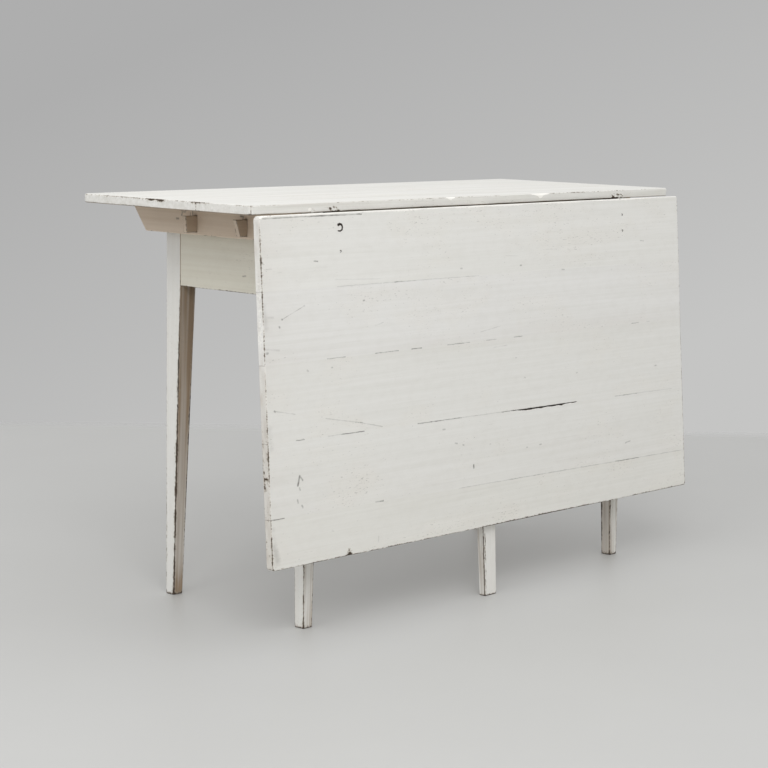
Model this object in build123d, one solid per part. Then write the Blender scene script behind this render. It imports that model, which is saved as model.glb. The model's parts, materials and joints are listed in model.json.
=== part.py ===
from build123d import *
import os
from math import cos, radians, sin, tan

# A painted country table with one drop leaf: a pegged four-leg frame, a loose two-board top held by
# wooden keys, a five-board leaf on two forged hinges, and a swing gate with a fifth leg behind it.
# The model is worked out with Y = 0 at the fixed top's front edge and is centred over its footprint
# at the end. X runs along the table, Y to the back, Z up, all in millimetres.

# Driving dimensions of the top and the leaf
table_height = 760.0
board_thickness = 16.0
board_arris = 1.6
top_length = 1189.0
top_width = 455.0
top_front_board_width = 140.0
leaf_left_x = -598.0
leaf_length = 1194.0
leaf_end_skew = 8.0
leaf_board_1_width = 131.0
leaf_board_2_width = 123.0
leaf_board_3_width = 140.0
leaf_board_4_width = 132.0
leaf_board_5_width = 81.5
leaf_joint_1_skew = 5.0
leaf_joint_3_skew = 12.0
leaf_joint_4_skew = 14.0
leaf_tilt = 3.86
raised_gap = 2.0

# Driving dimensions of the legs and the frame
end_overhang = 136.5
front_overhang = 2.0
back_overhang = 80.0
leg_size = 38.4
foot_size = 21.5
foot_chamfer = 2.5
apron_height = 153.5
apron_thickness = 18.0
apron_reveal = 0.6
tenon_thickness = 8.0
tenon_shoulder = 16.0
tenon_haunch = 30.0
tenon_wall = 5.0
peg_radius = 4.0
peg_spacing = 64.0
peg_stagger = 14.0
joint_clearance = 0.15

# Driving dimensions of the battens and their keys
batten_thickness = 28.0
batten_height = 53.5
batten_gap = 0.3
batten_inset = 13.0
batten_slant = 41.0
tongue_width = 15.0
tongue_depth = 6.0
tongue_angle = 10.0
key_head_height = 31.0
key_tip_height = 26.0
key_head_thickness = 9.5
key_tip_thickness = 7.5
key_stick_out = 28.0
key_tail = 12.0
key_drop = 33.0
key_front_offset = 89.0
key_back_offset = 74.0
key_front_slant = 11.0
key_back_slant = 2.5
key_clearance = 0.3

# Driving dimensions of the swing gate
gate_reveal = 1.0
gate_rail_height = 110.0
gate_rail_drop = 18.0
hinge_rail_length = 110.0
knuckle_fingers = 5
knuckle_gap = 0.4
knuckle_pin_radius = 3.5
knuckle_head_radius = 6.0
knuckle_head_height = 2.0
running_clearance = 0.05
fly_gap = 0.5
swing_leg_x = -5.0
swing_leg_width = 50.0
swing_foot_width = 32.5
swing_foot_depth = 14.0
swing_shank_depth = 17.0
swing_shank_height = 330.0
swing_leg_gap = 0.5
swing_leg_drop = 1.5
leaf_swing_gap = 0.6
fly_tenon_length = 20.0
fly_peg_margin = 16.0
rail_nail_margin = 22.0
rail_nail_grip = 10.0

# Driving dimensions of the forged hinges and nails
hinge_thickness = 3.0
hinge_width = 22.0
hinge_end_width = 13.0
hinge_length = 80.0
hinge_leg_gap = 2.6
hinge_axis_drop = 3.6
hinge_axis_offset = 4.5
hinge_eye_width = 6.8
hinge_eye_gap = 0.4
notch_clearance = 0.4
hinge_eye_wall = 1.6
hinge_pin_radius = 1.8
hinge_pin_head_radius = 3.0
hinge_pin_head = 1.2
nail_radius = 1.6
nail_head_radius = 4.2
nail_head_height = 1.8
nail_hole_clearance = 0.1
plate_nail_near = 16.0
plate_nail_far = 64.0
plate_nail_grip = 11.0
strap_nail_near = 28.0
strap_nail_far = 69.0
clench_length = 9.0
clench_width = 3.2
clench_height = 1.0

# Places that follow from the driving dimensions
frame_top = table_height - board_thickness
apron_bottom = frame_top - apron_height
leg_outer_x = top_length / 2 - end_overhang
leg_inner_x = leg_outer_x - leg_size
leg_front_y = front_overhang
leg_back_y = top_width - back_overhang
frame_middle = Plane(origin=(0, (leg_front_y + leg_back_y) / 2, 0), z_dir=(0, 1, 0))
end_apron_centre = apron_reveal + apron_thickness / 2
front_apron_centre = leg_size - apron_reveal - apron_thickness / 2
back_apron_centre = end_apron_centre
tenon_length = leg_size - end_apron_centre - tenon_thickness / 2 - tenon_wall
tenon_bottom = apron_bottom + tenon_shoulder
tenon_top = frame_top - tenon_haunch
peg_heights = [(tenon_bottom + tenon_top + side * peg_spacing) / 2 for side in (-1, 1)]
hinge_y = -hinge_axis_offset
hinge_z = frame_top - hinge_axis_drop
hinge_x = leg_inner_x - hinge_leg_gap - hinge_width / 2
hang_axis = Axis((0, hinge_y, hinge_z), (1, 0, 0))
hang_angle = 90 - leaf_tilt
leaf_board_widths = [
    leaf_board_1_width,
    leaf_board_2_width,
    leaf_board_3_width,
    leaf_board_4_width,
    leaf_board_5_width,
]
leaf_width = sum(leaf_board_widths)
leaf_skews = [0, leaf_joint_1_skew, 0, leaf_joint_3_skew, leaf_joint_4_skew, 0]
key_head_x = leg_outer_x + batten_gap + batten_thickness + key_stick_out
key_tip_x = leg_outer_x - apron_reveal - apron_thickness - key_tail
key_places = [leg_front_y + leg_size + key_front_offset, leg_back_y - leg_size - key_back_offset]
front_apron_front = leg_front_y + front_apron_centre - apron_thickness / 2
gate_front = leg_front_y + gate_reveal
gate_back = front_apron_front - fly_gap
gate_rail_top = frame_top - gate_rail_drop
gate_rail_bottom = gate_rail_top - gate_rail_height
knuckle_radius = (gate_back - gate_front) / 2
knuckle_x = leg_inner_x - hinge_rail_length
knuckle_y = gate_front + knuckle_radius

# How far a cutting shape runs past the wood it cuts
spill = 1.0


def block(x, y, z):
    """Box between two limits on each axis."""
    return Pos(sum(x) / 2, sum(y) / 2, sum(z) / 2) * Box(x[1] - x[0], y[1] - y[0], z[1] - z[0])


def prism_x(points, x):
    """Solid with the outline points in Y and Z, drawn out between two X limits."""
    face = Plane.YZ.offset(x[0]) * Polygon(*points, align=None)
    return extrude(face, x[1] - x[0], dir=(1, 0, 0))


def prism_y(points, y):
    """Solid with the outline points in X and Z, drawn out between two Y limits."""
    face = Plane.XZ.offset(-y[0]) * Polygon(*points, align=None)
    return extrude(face, y[1] - y[0], dir=(0, 1, 0))


def prism_z(points, z):
    """Solid with the outline points in X and Y, drawn out between two Z limits."""
    face = Pos(0, 0, z[0]) * Polygon(*points, align=None)
    return extrude(face, z[1] - z[0], dir=(0, 0, 1))


def rod(start, end, radius):
    """Round rod between two points."""
    plane = Plane(origin=start, z_dir=Vector(*end) - Vector(*start))
    length = (Vector(*end) - Vector(*start)).length
    return plane * Cylinder(radius, length, align=(Align.CENTER, Align.CENTER, Align.MIN))


def whittled_peg(start, end):
    """Eight-sided peg between two points, its corners on the peg's radius."""
    plane = Plane(origin=start, z_dir=Vector(*end) - Vector(*start))
    return extrude(plane * RegularPolygon(peg_radius, 8), (Vector(*end) - Vector(*start)).length)


def peg_or_hole(start, end, grow):
    """Whittled peg, or with grow the round hole that it is driven into."""
    return rod(start, end, peg_radius + grow) if grow else whittled_peg(start, end)


def at_corner(shape, right, back):
    """Moves a shape drawn from the front left leg's outer corner to one of the four corners."""
    placed = Pos(-leg_outer_x, leg_front_y, 0) * shape
    if back:
        placed = mirror(placed, about=frame_middle)
    if right:
        placed = mirror(placed, about=Plane.YZ)
    return placed


def corner_tenons(apron_centre, grow):
    """The two tenons in a leg, from its outer corner: of the end apron, then of the long apron."""
    half = tenon_thickness / 2 + grow
    reach = (leg_size - tenon_length - grow, leg_size + grow)
    height = (tenon_bottom - grow, tenon_top + grow)
    end_tenon = block((end_apron_centre - half, end_apron_centre + half), reach, height)
    long_tenon = block(reach, (apron_centre - half, apron_centre + half), height)
    return end_tenon, long_tenon


def corner_pegs(apron_centre, grow):
    """Draw-bore pegs of one corner, driven in from the leg's two outer faces."""
    middle = leg_size - tenon_length / 2
    past_tenon = tenon_thickness / 2 + tenon_wall / 2
    pegs = []
    for z in peg_heights:
        end_depth = end_apron_centre + past_tenon + grow
        long_depth = apron_centre + past_tenon + grow
        low = z - peg_stagger
        pegs.append(peg_or_hole((0, middle, z), (end_depth, middle, z), grow))
        pegs.append(peg_or_hole((middle, 0, low), (middle, long_depth, low), grow))
    return pegs


def leg(right, back):
    """One leg, tapered on its two inner faces below the aprons, mortised and bored."""
    centre = back_apron_centre if back else front_apron_centre
    outline = [(0, 0), (foot_size, 0), (leg_size, apron_bottom), (leg_size, frame_top), (0, frame_top)]
    shape = prism_x(outline, (0, leg_size)) & prism_y(outline, (0, leg_size))
    shape = chamfer(shape.faces().sort_by(Axis.Z)[0].edges(), foot_chamfer)
    for mortise in corner_tenons(centre, joint_clearance):
        shape -= mortise
    for hole in corner_pegs(centre, joint_clearance):
        shape -= hole
    return at_corner(shape, right, back)


def key_section(x, grow):
    """Half thickness and half height of a tapered key at a distance from the table's middle."""
    share = (x - key_tip_x) / (key_head_x - key_tip_x)
    thickness = key_tip_thickness + share * (key_head_thickness - key_tip_thickness)
    height = key_tip_height + share * (key_head_height - key_tip_height)
    return thickness / 2 + grow, height / 2 + grow


def key_blank(centre_y, x_tip, x_head, grow):
    """Tapered key, or with grow its mortise, at the right end of the table."""
    z = frame_top - key_drop
    tip_thickness, tip_height = key_section(x_tip, grow)
    head_thickness, head_height = key_section(x_head, grow)
    side = [
        (x_tip, z - tip_height),
        (x_head, z - head_height),
        (x_head, z + head_height),
        (x_tip, z + tip_height),
    ]
    plan = [
        (x_tip, centre_y - tip_thickness),
        (x_head, centre_y - head_thickness),
        (x_head, centre_y + head_thickness),
        (x_tip, centre_y + tip_thickness),
    ]
    width = (centre_y - head_thickness, centre_y + head_thickness)
    return prism_y(side, width) & prism_z(plan, (z - head_height, z + head_height))


def locking_key(centre_y, slant):
    """Loose key with a slanted head, longer at the top."""
    z = frame_top - key_drop
    low = z - key_head_height / 2 - spill
    high = z + key_head_height / 2 + spill
    past = key_head_x + spill
    offcut = [(key_head_x - slant, low), (key_head_x, high), (past, high), (past, low)]
    side = (centre_y - key_head_thickness, centre_y + key_head_thickness)
    return key_blank(centre_y, key_tip_x, key_head_x, 0) - prism_y(offcut, side)


def key_mortises():
    """Through mortises for the two keys at the right end."""
    far = key_head_x + key_stick_out
    return [key_blank(y, key_tip_x - spill, far, key_clearance) for y in key_places]


def end_apron():
    """Right end apron with a tenon at each end, key mortises and peg holes."""
    outer = leg_outer_x - apron_reveal
    span = (leg_front_y + leg_size, leg_back_y - leg_size)
    shape = block((outer - apron_thickness, outer), span, (apron_bottom, frame_top))
    for back in (False, True):
        shape += at_corner(corner_tenons(end_apron_centre, 0)[0], True, back)
        for hole in corner_pegs(back_apron_centre if back else front_apron_centre, joint_clearance):
            shape -= at_corner(hole, True, back)
    for mortise in key_mortises():
        shape -= mortise
    return shape


def long_apron(back):
    """Front or back apron with a tenon at each end and peg holes."""
    centre = back_apron_centre if back else front_apron_centre
    middle_y = leg_back_y - centre if back else leg_front_y + centre
    depth = (middle_y - apron_thickness / 2, middle_y + apron_thickness / 2)
    shape = block((-leg_inner_x, leg_inner_x), depth, (apron_bottom, frame_top))
    for right in (False, True):
        shape += at_corner(corner_tenons(centre, 0)[1], right, back)
        for hole in corner_pegs(centre, joint_clearance):
            shape -= at_corner(hole, right, back)
    return shape


def front_apron():
    """Front apron, notched over the hinge plates and bored for the hinge rail's nails."""
    shape = long_apron(False)
    half = hinge_width / 2 + notch_clearance
    depth = (front_apron_front, front_apron_front + apron_thickness)
    height = (frame_top - hinge_thickness - notch_clearance, frame_top + spill)
    for side in (-1, 1):
        x = side * hinge_x
        shape -= block((x - half, x + half), depth, height)
    for hole in hinge_rail_nails(nail_hole_clearance):
        shape -= hole
    return shape


def batten_tongue(grow):
    """Dovetail tongue of the right batten, open at the top's back edge."""
    middle = leg_outer_x + batten_gap + batten_thickness / 2
    root = tongue_width / 2 + grow
    head = root + tongue_depth * tan(radians(tongue_angle))
    low = frame_top - grow
    high = frame_top + tongue_depth + grow
    outline = [(middle - root, low), (middle + root, low), (middle + head, high), (middle - head, high)]
    return prism_y(outline, (batten_inset + batten_slant - grow, top_width))


def batten():
    """Right batten with slanted ends, its tongue and its key mortises."""
    inner = leg_outer_x + batten_gap
    back = top_width - batten_inset
    low = frame_top - batten_height
    outline = [
        (batten_inset, frame_top),
        (batten_inset + batten_slant, low),
        (back - batten_slant, low),
        (back, frame_top),
    ]
    shape = prism_x(outline, (inner, inner + batten_thickness)) + batten_tongue(0)
    for mortise in key_mortises():
        shape -= mortise
    return shape


def board_slab(outline):
    """Slab of edge-joined boards with softened arrises, from its outline in plan."""
    slab = prism_z(outline, (frame_top, table_height))
    return fillet(slab.edges(), board_arris)


def top_boards():
    """Front and back boards of the fixed top, grooved for the battens and bored for the plate nails."""
    half = top_length / 2
    slab = board_slab([(-half, 0), (half, 0), (half, top_width), (-half, top_width)])
    groove = batten_tongue(joint_clearance)
    slab -= groove
    slab -= mirror(groove, about=Plane.YZ)
    for hole in plate_nails(nail_hole_clearance):
        slab -= hole
    across = (-top_length / 2 - spill, top_length / 2 + spill)
    height = (frame_top - spill, table_height + spill)
    front = slab & block(across, (-spill, top_front_board_width), height)
    back = slab & block(across, (top_front_board_width, top_width + spill), height)
    return front, back


def leaf_boards():
    """Leaf boards in the raised place. Most of their joints and the right end run at a slight skew."""
    edge = -raised_gap
    right = leaf_left_x + leaf_length
    slab = board_slab([
        (leaf_left_x, edge),
        (leaf_left_x, edge - leaf_width),
        (right + leaf_end_skew, edge - leaf_width),
        (right, edge),
    ])
    for hole in strap_nails(nail_hole_clearance):
        slab -= hole
    half = leaf_length / 2 + leaf_end_skew
    height = (frame_top - spill, table_height + spill)
    boards = []
    start = 0
    for number, width in enumerate(leaf_board_widths, 1):
        end = start + width
        near = leaf_skews[number - 1] / 2
        far = leaf_skews[number] / 2
        above = edge - start + (spill if number == 1 else 0)
        below = edge - end - (spill if number == len(leaf_board_widths) else 0)
        outline = [
            (-half - spill, above + near),
            (half + spill, above - near),
            (half + spill, below - far),
            (-half - spill, below + far),
        ]
        boards.append(slab & prism_z(outline, height))
        start = end
    return boards


def strap_outline(direction):
    """Outline of a forged strap in plan, tapering from the knuckle to a round end."""
    half = hinge_width / 2
    tip = hinge_end_width / 2
    start = hinge_axis_offset / 2
    end = hinge_length - tip
    outline = Polygon((-half, start), (half, start), (tip, end), (-tip, end), align=None)
    outline += Pos(0, end) * Circle(tip)
    return Pos(0, hinge_y) * Rot(0, 0, 90 - 90 * direction) * outline


def hinge_half(direction, nail_places):
    """Plate under the top (direction 1) or strap under the raised leaf (-1), at mid length."""
    eye_radius = hinge_pin_radius + running_clearance + hinge_eye_wall
    half = hinge_width / 2
    outer_eyes = [(-half, -half + hinge_eye_width), (half - hinge_eye_width, half)]
    middle_eye = [(-half + hinge_eye_width + hinge_eye_gap, half - hinge_eye_width - hinge_eye_gap)]
    own, other = (outer_eyes, middle_eye) if direction > 0 else (middle_eye, outer_eyes)
    outline = Pos(0, 0, frame_top - hinge_thickness) * strap_outline(direction)
    shape = extrude(outline, hinge_thickness, dir=(0, 0, 1))
    for low, high in other:
        start = (low - hinge_eye_gap, hinge_y, hinge_z)
        shape -= rod(start, (high + hinge_eye_gap, hinge_y, hinge_z), eye_radius + hinge_eye_gap)
    for low, high in own:
        shape += rod((low, hinge_y, hinge_z), (high, hinge_y, hinge_z), eye_radius)
    pin_hole = hinge_pin_radius + running_clearance
    shape -= rod((-half - spill, hinge_y, hinge_z), (half + spill, hinge_y, hinge_z), pin_hole)
    under = frame_top - hinge_thickness - spill
    for place in nail_places:
        y = hinge_y + direction * place
        shape -= rod((0, y, under), (0, y, frame_top + spill), nail_radius + nail_hole_clearance)
    return shape


def hinge_pin():
    """Hinge pin with its two hammered heads, at mid length."""
    half = hinge_width / 2
    end = half + hinge_pin_head
    shape = rod((-end, hinge_y, hinge_z), (end, hinge_y, hinge_z), hinge_pin_radius)
    for side in (-1, 1):
        inner = (side * half, hinge_y, hinge_z)
        shape += rod(inner, (side * end, hinge_y, hinge_z), hinge_pin_head_radius)
    return shape


def nail(x, y, tip, grow):
    """Nail driven upwards through a hinge, its low forged head under the iron."""
    under = frame_top - hinge_thickness
    shape = rod((x, y, under - spill * (grow > 0)), (x, y, tip), nail_radius + grow)
    if grow:
        return shape
    hung_down = (Align.CENTER, Align.CENTER, Align.MAX)
    head = Cone(nail_head_radius / 2, nail_head_radius, nail_head_height, align=hung_down)
    return shape + Pos(x, y, under) * head


def plate_nails(grow):
    """Nails of both plates, up into the fixed top."""
    tip = frame_top + plate_nail_grip + grow
    places = (plate_nail_near, plate_nail_far)
    return [nail(side * hinge_x, hinge_y + place, tip, grow) for side in (-1, 1) for place in places]


def strap_nails(grow):
    """Nails of both straps, through the raised leaf and clenched over on its face."""
    nails = []
    tip = table_height + (spill if grow else clench_height)
    for side in (-1, 1):
        for place in (strap_nail_near, strap_nail_far):
            x = side * hinge_x
            y = hinge_y - place
            shape = nail(x, y, tip, grow)
            if not grow:
                along = (x - clench_length + nail_radius, x + nail_radius)
                wide = (y - clench_width / 2, y + clench_width / 2)
                shape += block(along, wide, (table_height, table_height + clench_height))
            nails.append(shape)
    return nails


def hinge_rail_nails(grow):
    """Nails through the hinge rail into the front apron, heads on the rail's face."""
    left = knuckle_x + knuckle_radius + knuckle_gap + rail_nail_margin
    right = leg_inner_x - rail_nail_margin
    low = gate_rail_bottom + rail_nail_margin
    high = gate_rail_top - rail_nail_margin
    nails = []
    for x in (left, right):
        for z in (low, high):
            start = (x, gate_front - spill * (grow > 0), z)
            tip = (x, front_apron_front + rail_nail_grip + grow, z)
            shape = rod(start, tip, nail_radius + grow)
            if not grow:
                shape += rod((x, gate_front - nail_head_height, z), start, nail_head_radius)
            nails.append(shape)
    return nails


def knuckle_levels(first):
    """Height limits of every second finger of the wooden knuckle, with a working gap between."""
    pitch = gate_rail_height / knuckle_fingers
    levels = []
    for number in range(first, knuckle_fingers, 2):
        low = gate_rail_bottom + number * pitch + (knuckle_gap / 2 if number else 0)
        high = gate_rail_bottom + (number + 1) * pitch
        levels.append((low, high - (knuckle_gap / 2 if number < knuckle_fingers - 1 else 0)))
    return levels


def knuckle_fingers_of(direction, first):
    """Round-ended fingers of one rail, reaching to the knuckle pin from its side."""
    reach = knuckle_x + direction * (knuckle_radius + knuckle_gap)
    along = (min(knuckle_x, reach), max(knuckle_x, reach))
    across = (knuckle_y - knuckle_radius, knuckle_y + knuckle_radius)
    fingers = []
    for low, high in knuckle_levels(first):
        finger = block(along, across, (low, high))
        finger += rod((knuckle_x, knuckle_y, low), (knuckle_x, knuckle_y, high), knuckle_radius)
        fingers.append(finger)
    return fingers


def knuckle_bore():
    """Bore of the knuckle pin through the rails."""
    bottom = gate_rail_bottom - spill
    top = gate_rail_top + spill
    radius = knuckle_pin_radius + running_clearance
    return rod((knuckle_x, knuckle_y, bottom), (knuckle_x, knuckle_y, top), radius)


def hinge_rail():
    """Fixed rail on the front apron that carries the gate."""
    start = knuckle_x + knuckle_radius + knuckle_gap
    height = (gate_rail_bottom, gate_rail_top)
    shape = block((start, leg_inner_x), (gate_front, front_apron_front), height)
    for finger in knuckle_fingers_of(1, 0):
        shape += finger
    shape -= knuckle_bore()
    for hole in hinge_rail_nails(nail_hole_clearance):
        shape -= hole
    return shape


def fly_tenon(grow):
    """Tenon of the fly rail in the swing leg, or with grow its mortise."""
    face = swing_leg_x + swing_leg_width / 2
    half = tenon_thickness / 2 + grow
    along = (face - fly_tenon_length - grow, face + grow)
    height = (gate_rail_bottom + tenon_shoulder - grow, gate_rail_top - tenon_shoulder + grow)
    return block(along, (knuckle_y - half, knuckle_y + half), height)


def swing_leg_pegs(grow):
    """Pegs through the swing leg and the fly rail's tenon, from the leg's back face."""
    x = swing_leg_x + swing_leg_width / 2 - fly_tenon_length / 2
    middle = (gate_rail_bottom + gate_rail_top) / 2
    spacing = gate_rail_height - 2 * tenon_shoulder - 2 * fly_peg_margin
    end = knuckle_y - tenon_thickness / 2 - tenon_wall / 2 - grow
    heights = [middle + side * spacing / 2 for side in (-1, 1)]
    return [peg_or_hole((x, gate_back, z), (x, end, z), grow) for z in heights]


def fly_rail():
    """Swinging rail between the knuckle and the swing leg."""
    face = swing_leg_x + swing_leg_width / 2
    end = knuckle_x - knuckle_radius - knuckle_gap
    shape = block((face, end), (gate_front, gate_back), (gate_rail_bottom, gate_rail_top))
    shape += fly_tenon(0)
    for finger in knuckle_fingers_of(-1, 1):
        shape += finger
    shape -= knuckle_bore()
    for hole in swing_leg_pegs(joint_clearance):
        shape -= hole
    return shape


def knuckle_pin():
    """Pin of the wooden knuckle with a round head on the top finger."""
    foot = (knuckle_x, knuckle_y, gate_rail_bottom)
    shoulder = (knuckle_x, knuckle_y, gate_rail_top)
    end = (knuckle_x, knuckle_y, gate_rail_top + knuckle_head_height)
    return rod(foot, shoulder, knuckle_pin_radius) + rod(shoulder, end, knuckle_head_radius)


def swing_leg_front(z):
    """Depth of the swing leg's front face at a height: just behind the hanging leaf."""
    corner = hung(-raised_gap, frame_top)
    return corner[0] + (z - corner[1]) * tan(radians(leaf_tilt)) + swing_leg_gap


def leaf_swing_room():
    """Hollow at the swing leg's top, where the leaf's upper edge turns past the hinge line."""
    reach = Vector(hinge_axis_offset - raised_gap, hinge_axis_drop).length + leaf_swing_gap
    along = (swing_leg_x - swing_leg_width, swing_leg_x + swing_leg_width)
    hollow = rod((along[0], hinge_y, hinge_z), (along[1], hinge_y, hinge_z), reach)
    return hollow + block(along, (hinge_y - 2 * reach, hinge_y + reach), (hinge_z, table_height))


def swing_leg():
    """Flat splayed leg that the hanging leaf leans on. Its front face is wide and its left edge upright;
    below the mortise of the fly rail it thins quickly, then slowly to the foot."""
    left = swing_leg_x - swing_leg_width / 2
    right = swing_leg_x + swing_leg_width / 2
    top = frame_top - swing_leg_drop
    front = [(left, 0), (left + swing_foot_width, 0), (right, apron_bottom), (right, top), (left, top)]
    foot = swing_leg_front(0)
    side = [
        (foot, 0),
        (foot + swing_foot_depth, 0),
        (swing_leg_front(swing_shank_height) + swing_shank_depth, swing_shank_height),
        (gate_back, apron_bottom),
        (gate_back, top),
        (swing_leg_front(top), top),
    ]
    shape = prism_y(front, (foot, gate_back)) & prism_x(side, (left, right))
    shape = chamfer(shape.faces().sort_by(Axis.Z)[0].edges(), foot_chamfer)
    shape -= leaf_swing_room()
    shape -= fly_tenon(joint_clearance)
    for hole in swing_leg_pegs(joint_clearance):
        shape -= hole
    return shape


def hung(y, z):
    """Where a point of the raised leaf lies when the leaf hangs."""
    angle = radians(hang_angle)
    dy = y - hinge_y
    dz = z - hinge_z
    return hinge_y + dy * cos(angle) - dz * sin(angle), hinge_z + dy * sin(angle) + dz * cos(angle)


# Nodes of the assembly, in the place with Y = 0 at the top's front edge
nodes = {}
nodes["top_front_board"], nodes["top_back_board"] = top_boards()
nodes["leg_front_left"] = leg(False, False)
nodes["leg_front_right"] = leg(True, False)
nodes["leg_back_left"] = leg(False, True)
nodes["leg_back_right"] = leg(True, True)
nodes["apron_front"] = front_apron()
nodes["apron_back"] = long_apron(True)
right_end = {"apron_end": end_apron(), "top_batten": batten()}
for place, slant, name in zip(key_places, (key_front_slant, key_back_slant), ("front", "back")):
    right_end["locking_key_" + name] = locking_key(place, slant)
for name, shape in right_end.items():
    words = name.replace("locking_key_", "locking_key_{}_") if "key" in name else name + "_{}"
    nodes[words.format("right")] = shape
    nodes[words.format("left")] = mirror(shape, about=Plane.YZ)
for right, side in ((False, "left"), (True, "right")):
    for back, end in ((False, "front"), (True, "back")):
        corner = corner_pegs(back_apron_centre if back else front_apron_centre, 0)
        pegs = [at_corner(peg, right, back) for peg in corner]
        nodes["leg_pegs_{}_{}".format(end, side)] = Compound(children=pegs)
nodes["hinge_rail"] = hinge_rail()
nodes["hinge_rail_nails"] = Compound(children=hinge_rail_nails(0))
nodes["fly_rail"] = fly_rail()
nodes["knuckle_pin"] = knuckle_pin()
nodes["swing_leg"] = swing_leg()
nodes["swing_leg_pegs"] = Compound(children=swing_leg_pegs(0))
nodes["hinge_plate_nails"] = Compound(children=plate_nails(0))
leaf_nodes = {}
for number, board in enumerate(leaf_boards(), 1):
    leaf_nodes["leaf_board_{}".format(number)] = board
leaf_nodes["hinge_strap_nails"] = Compound(children=strap_nails(0))
for side, name in ((-1, "left"), (1, "right")):
    place = Pos(side * hinge_x, 0, 0)
    nodes["hinge_plate_" + name] = place * hinge_half(1, (plate_nail_near, plate_nail_far))
    nodes["hinge_pin_" + name] = place * hinge_pin()
    leaf_nodes["hinge_strap_" + name] = place * hinge_half(-1, (strap_nail_near, strap_nail_far))
for name, shape in leaf_nodes.items():
    nodes[name] = shape.rotate(hang_axis, hang_angle)

# The origin is on the floor, under the middle of the table's length and depth
leaf_reach = hung(-raised_gap - leaf_width, table_height)[0]
centre_x = leaf_left_x + (leaf_length + leaf_end_skew) / 2
centre_y = (top_width + leaf_reach) / 2
os.makedirs("parts", exist_ok=True)
for name, shape in nodes.items():
    export_step(Pos(-centre_x, -centre_y, 0) * shape, "parts/{}.step".format(name))
print("nodes", len(nodes))
print("hinge axis at y", round(hinge_y - centre_y, 3), "z", hinge_z, "raise by", hang_angle)
print("front edge of the top at y", round(-centre_y, 3))
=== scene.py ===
# %% [markdown]
# # A painted country table with one drop leaf
# The table is a pegged pine frame on four tapered legs, with a loose two-board top, a five-board leaf that
# hangs at the front and a fifth leg on a swing gate behind it. The solid model already holds every
# piece in its true place, so this lesson starts from it and gives each piece the worn edges, the old paint
# and the marks of use that a solid model leaves out.

# %% Load the solid model
import bmesh
import bpy
import itertools
import json
import math
import numpy as np
from mathutils import Matrix, Vector


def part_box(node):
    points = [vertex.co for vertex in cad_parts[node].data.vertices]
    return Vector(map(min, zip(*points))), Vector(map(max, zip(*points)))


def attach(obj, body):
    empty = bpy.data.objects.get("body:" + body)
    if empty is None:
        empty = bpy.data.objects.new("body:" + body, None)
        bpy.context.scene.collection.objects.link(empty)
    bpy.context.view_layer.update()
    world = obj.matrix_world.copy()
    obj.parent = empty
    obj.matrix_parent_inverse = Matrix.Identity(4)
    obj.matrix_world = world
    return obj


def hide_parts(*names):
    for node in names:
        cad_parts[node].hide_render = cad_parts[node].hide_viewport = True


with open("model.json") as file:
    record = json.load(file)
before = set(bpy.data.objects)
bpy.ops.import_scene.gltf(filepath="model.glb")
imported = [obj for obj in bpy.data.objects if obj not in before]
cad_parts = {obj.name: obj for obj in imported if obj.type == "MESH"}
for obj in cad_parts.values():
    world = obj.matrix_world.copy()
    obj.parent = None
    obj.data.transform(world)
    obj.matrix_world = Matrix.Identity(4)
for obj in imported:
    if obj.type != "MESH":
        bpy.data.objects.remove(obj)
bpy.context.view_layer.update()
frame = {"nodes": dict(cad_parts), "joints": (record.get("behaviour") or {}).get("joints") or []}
mm = 0.001

# %% [markdown]
# ## Camera
# The picture was taken with a long lens from about 4.3 m away, a little above the table and turned 47 degrees
# from its front. Fitting the table's corners gave the place, the angles and the focal length. The matrix is
# built from the view's own right, up and back directions, so no tracking constraint is needed.

# %% Camera
camera_place = Vector((-3.0977, -2.8709, 0.9749))
camera_yaw = 0.8143
camera_pitch = -0.1402
camera_roll = 0.0154
picture_width_px = 768
focal_length_px = 2155.3

forward = Vector((math.sin(camera_yaw) * math.cos(camera_pitch),
                  math.cos(camera_yaw) * math.cos(camera_pitch),
                  math.sin(camera_pitch)))
level_right = Vector((math.cos(camera_yaw), -math.sin(camera_yaw), 0))
level_up = level_right.cross(forward)
right = math.cos(camera_roll) * level_right + math.sin(camera_roll) * level_up
up = right.cross(forward)
camera_data = bpy.data.cameras.new("camera")
camera_data.sensor_width = 36.0
camera_data.lens = focal_length_px / picture_width_px * camera_data.sensor_width
camera = bpy.data.objects.new("camera", camera_data)
turn = Matrix((right, up, -forward)).transposed()
camera.matrix_world = Matrix.Translation(camera_place) @ turn.to_4x4()
bpy.context.collection.objects.link(camera)
bpy.context.scene.camera = camera
print("lens", round(camera_data.lens, 1), "mm")

# %% [markdown]
# ## Colours and nodes
# Paint charts and colour pickers give sRGB values, while the shaders work in linear light, so one function
# turns a hex value into linear numbers. A second one adds a node of any kind with its settings and its
# inputs, which may be plain values or the outputs of other nodes.

# %% Colours and nodes
def linear(code):
    """Linear colour with alpha from an sRGB hex value such as E4E2DA."""
    channels = [int(code[i:i + 2], 16) / 255 for i in (0, 2, 4)]
    return [c / 12.92 if c <= 0.04045 else ((c + 0.055) / 1.055) ** 2.4 for c in channels] + [1.0]


def add(tree, kind, inputs=None, **settings):
    """Adds a node to a tree, with its settings and with values or links for its inputs."""
    node = tree.nodes.new(kind)
    for name, value in settings.items():
        setattr(node, name, value)
    for key, value in (inputs or {}).items():
        if isinstance(value, bpy.types.NodeSocket):
            tree.links.new(value, node.inputs[key])
        else:
            node.inputs[key].default_value = value
    return node


def new_material(name):
    """Empty node material."""
    material = bpy.data.materials.new(name)
    material.use_nodes = True
    material.node_tree.nodes.clear()
    return material, material.node_tree


print("half-bright 808080 is", round(linear("808080")[0], 3), "in linear light")

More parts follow.
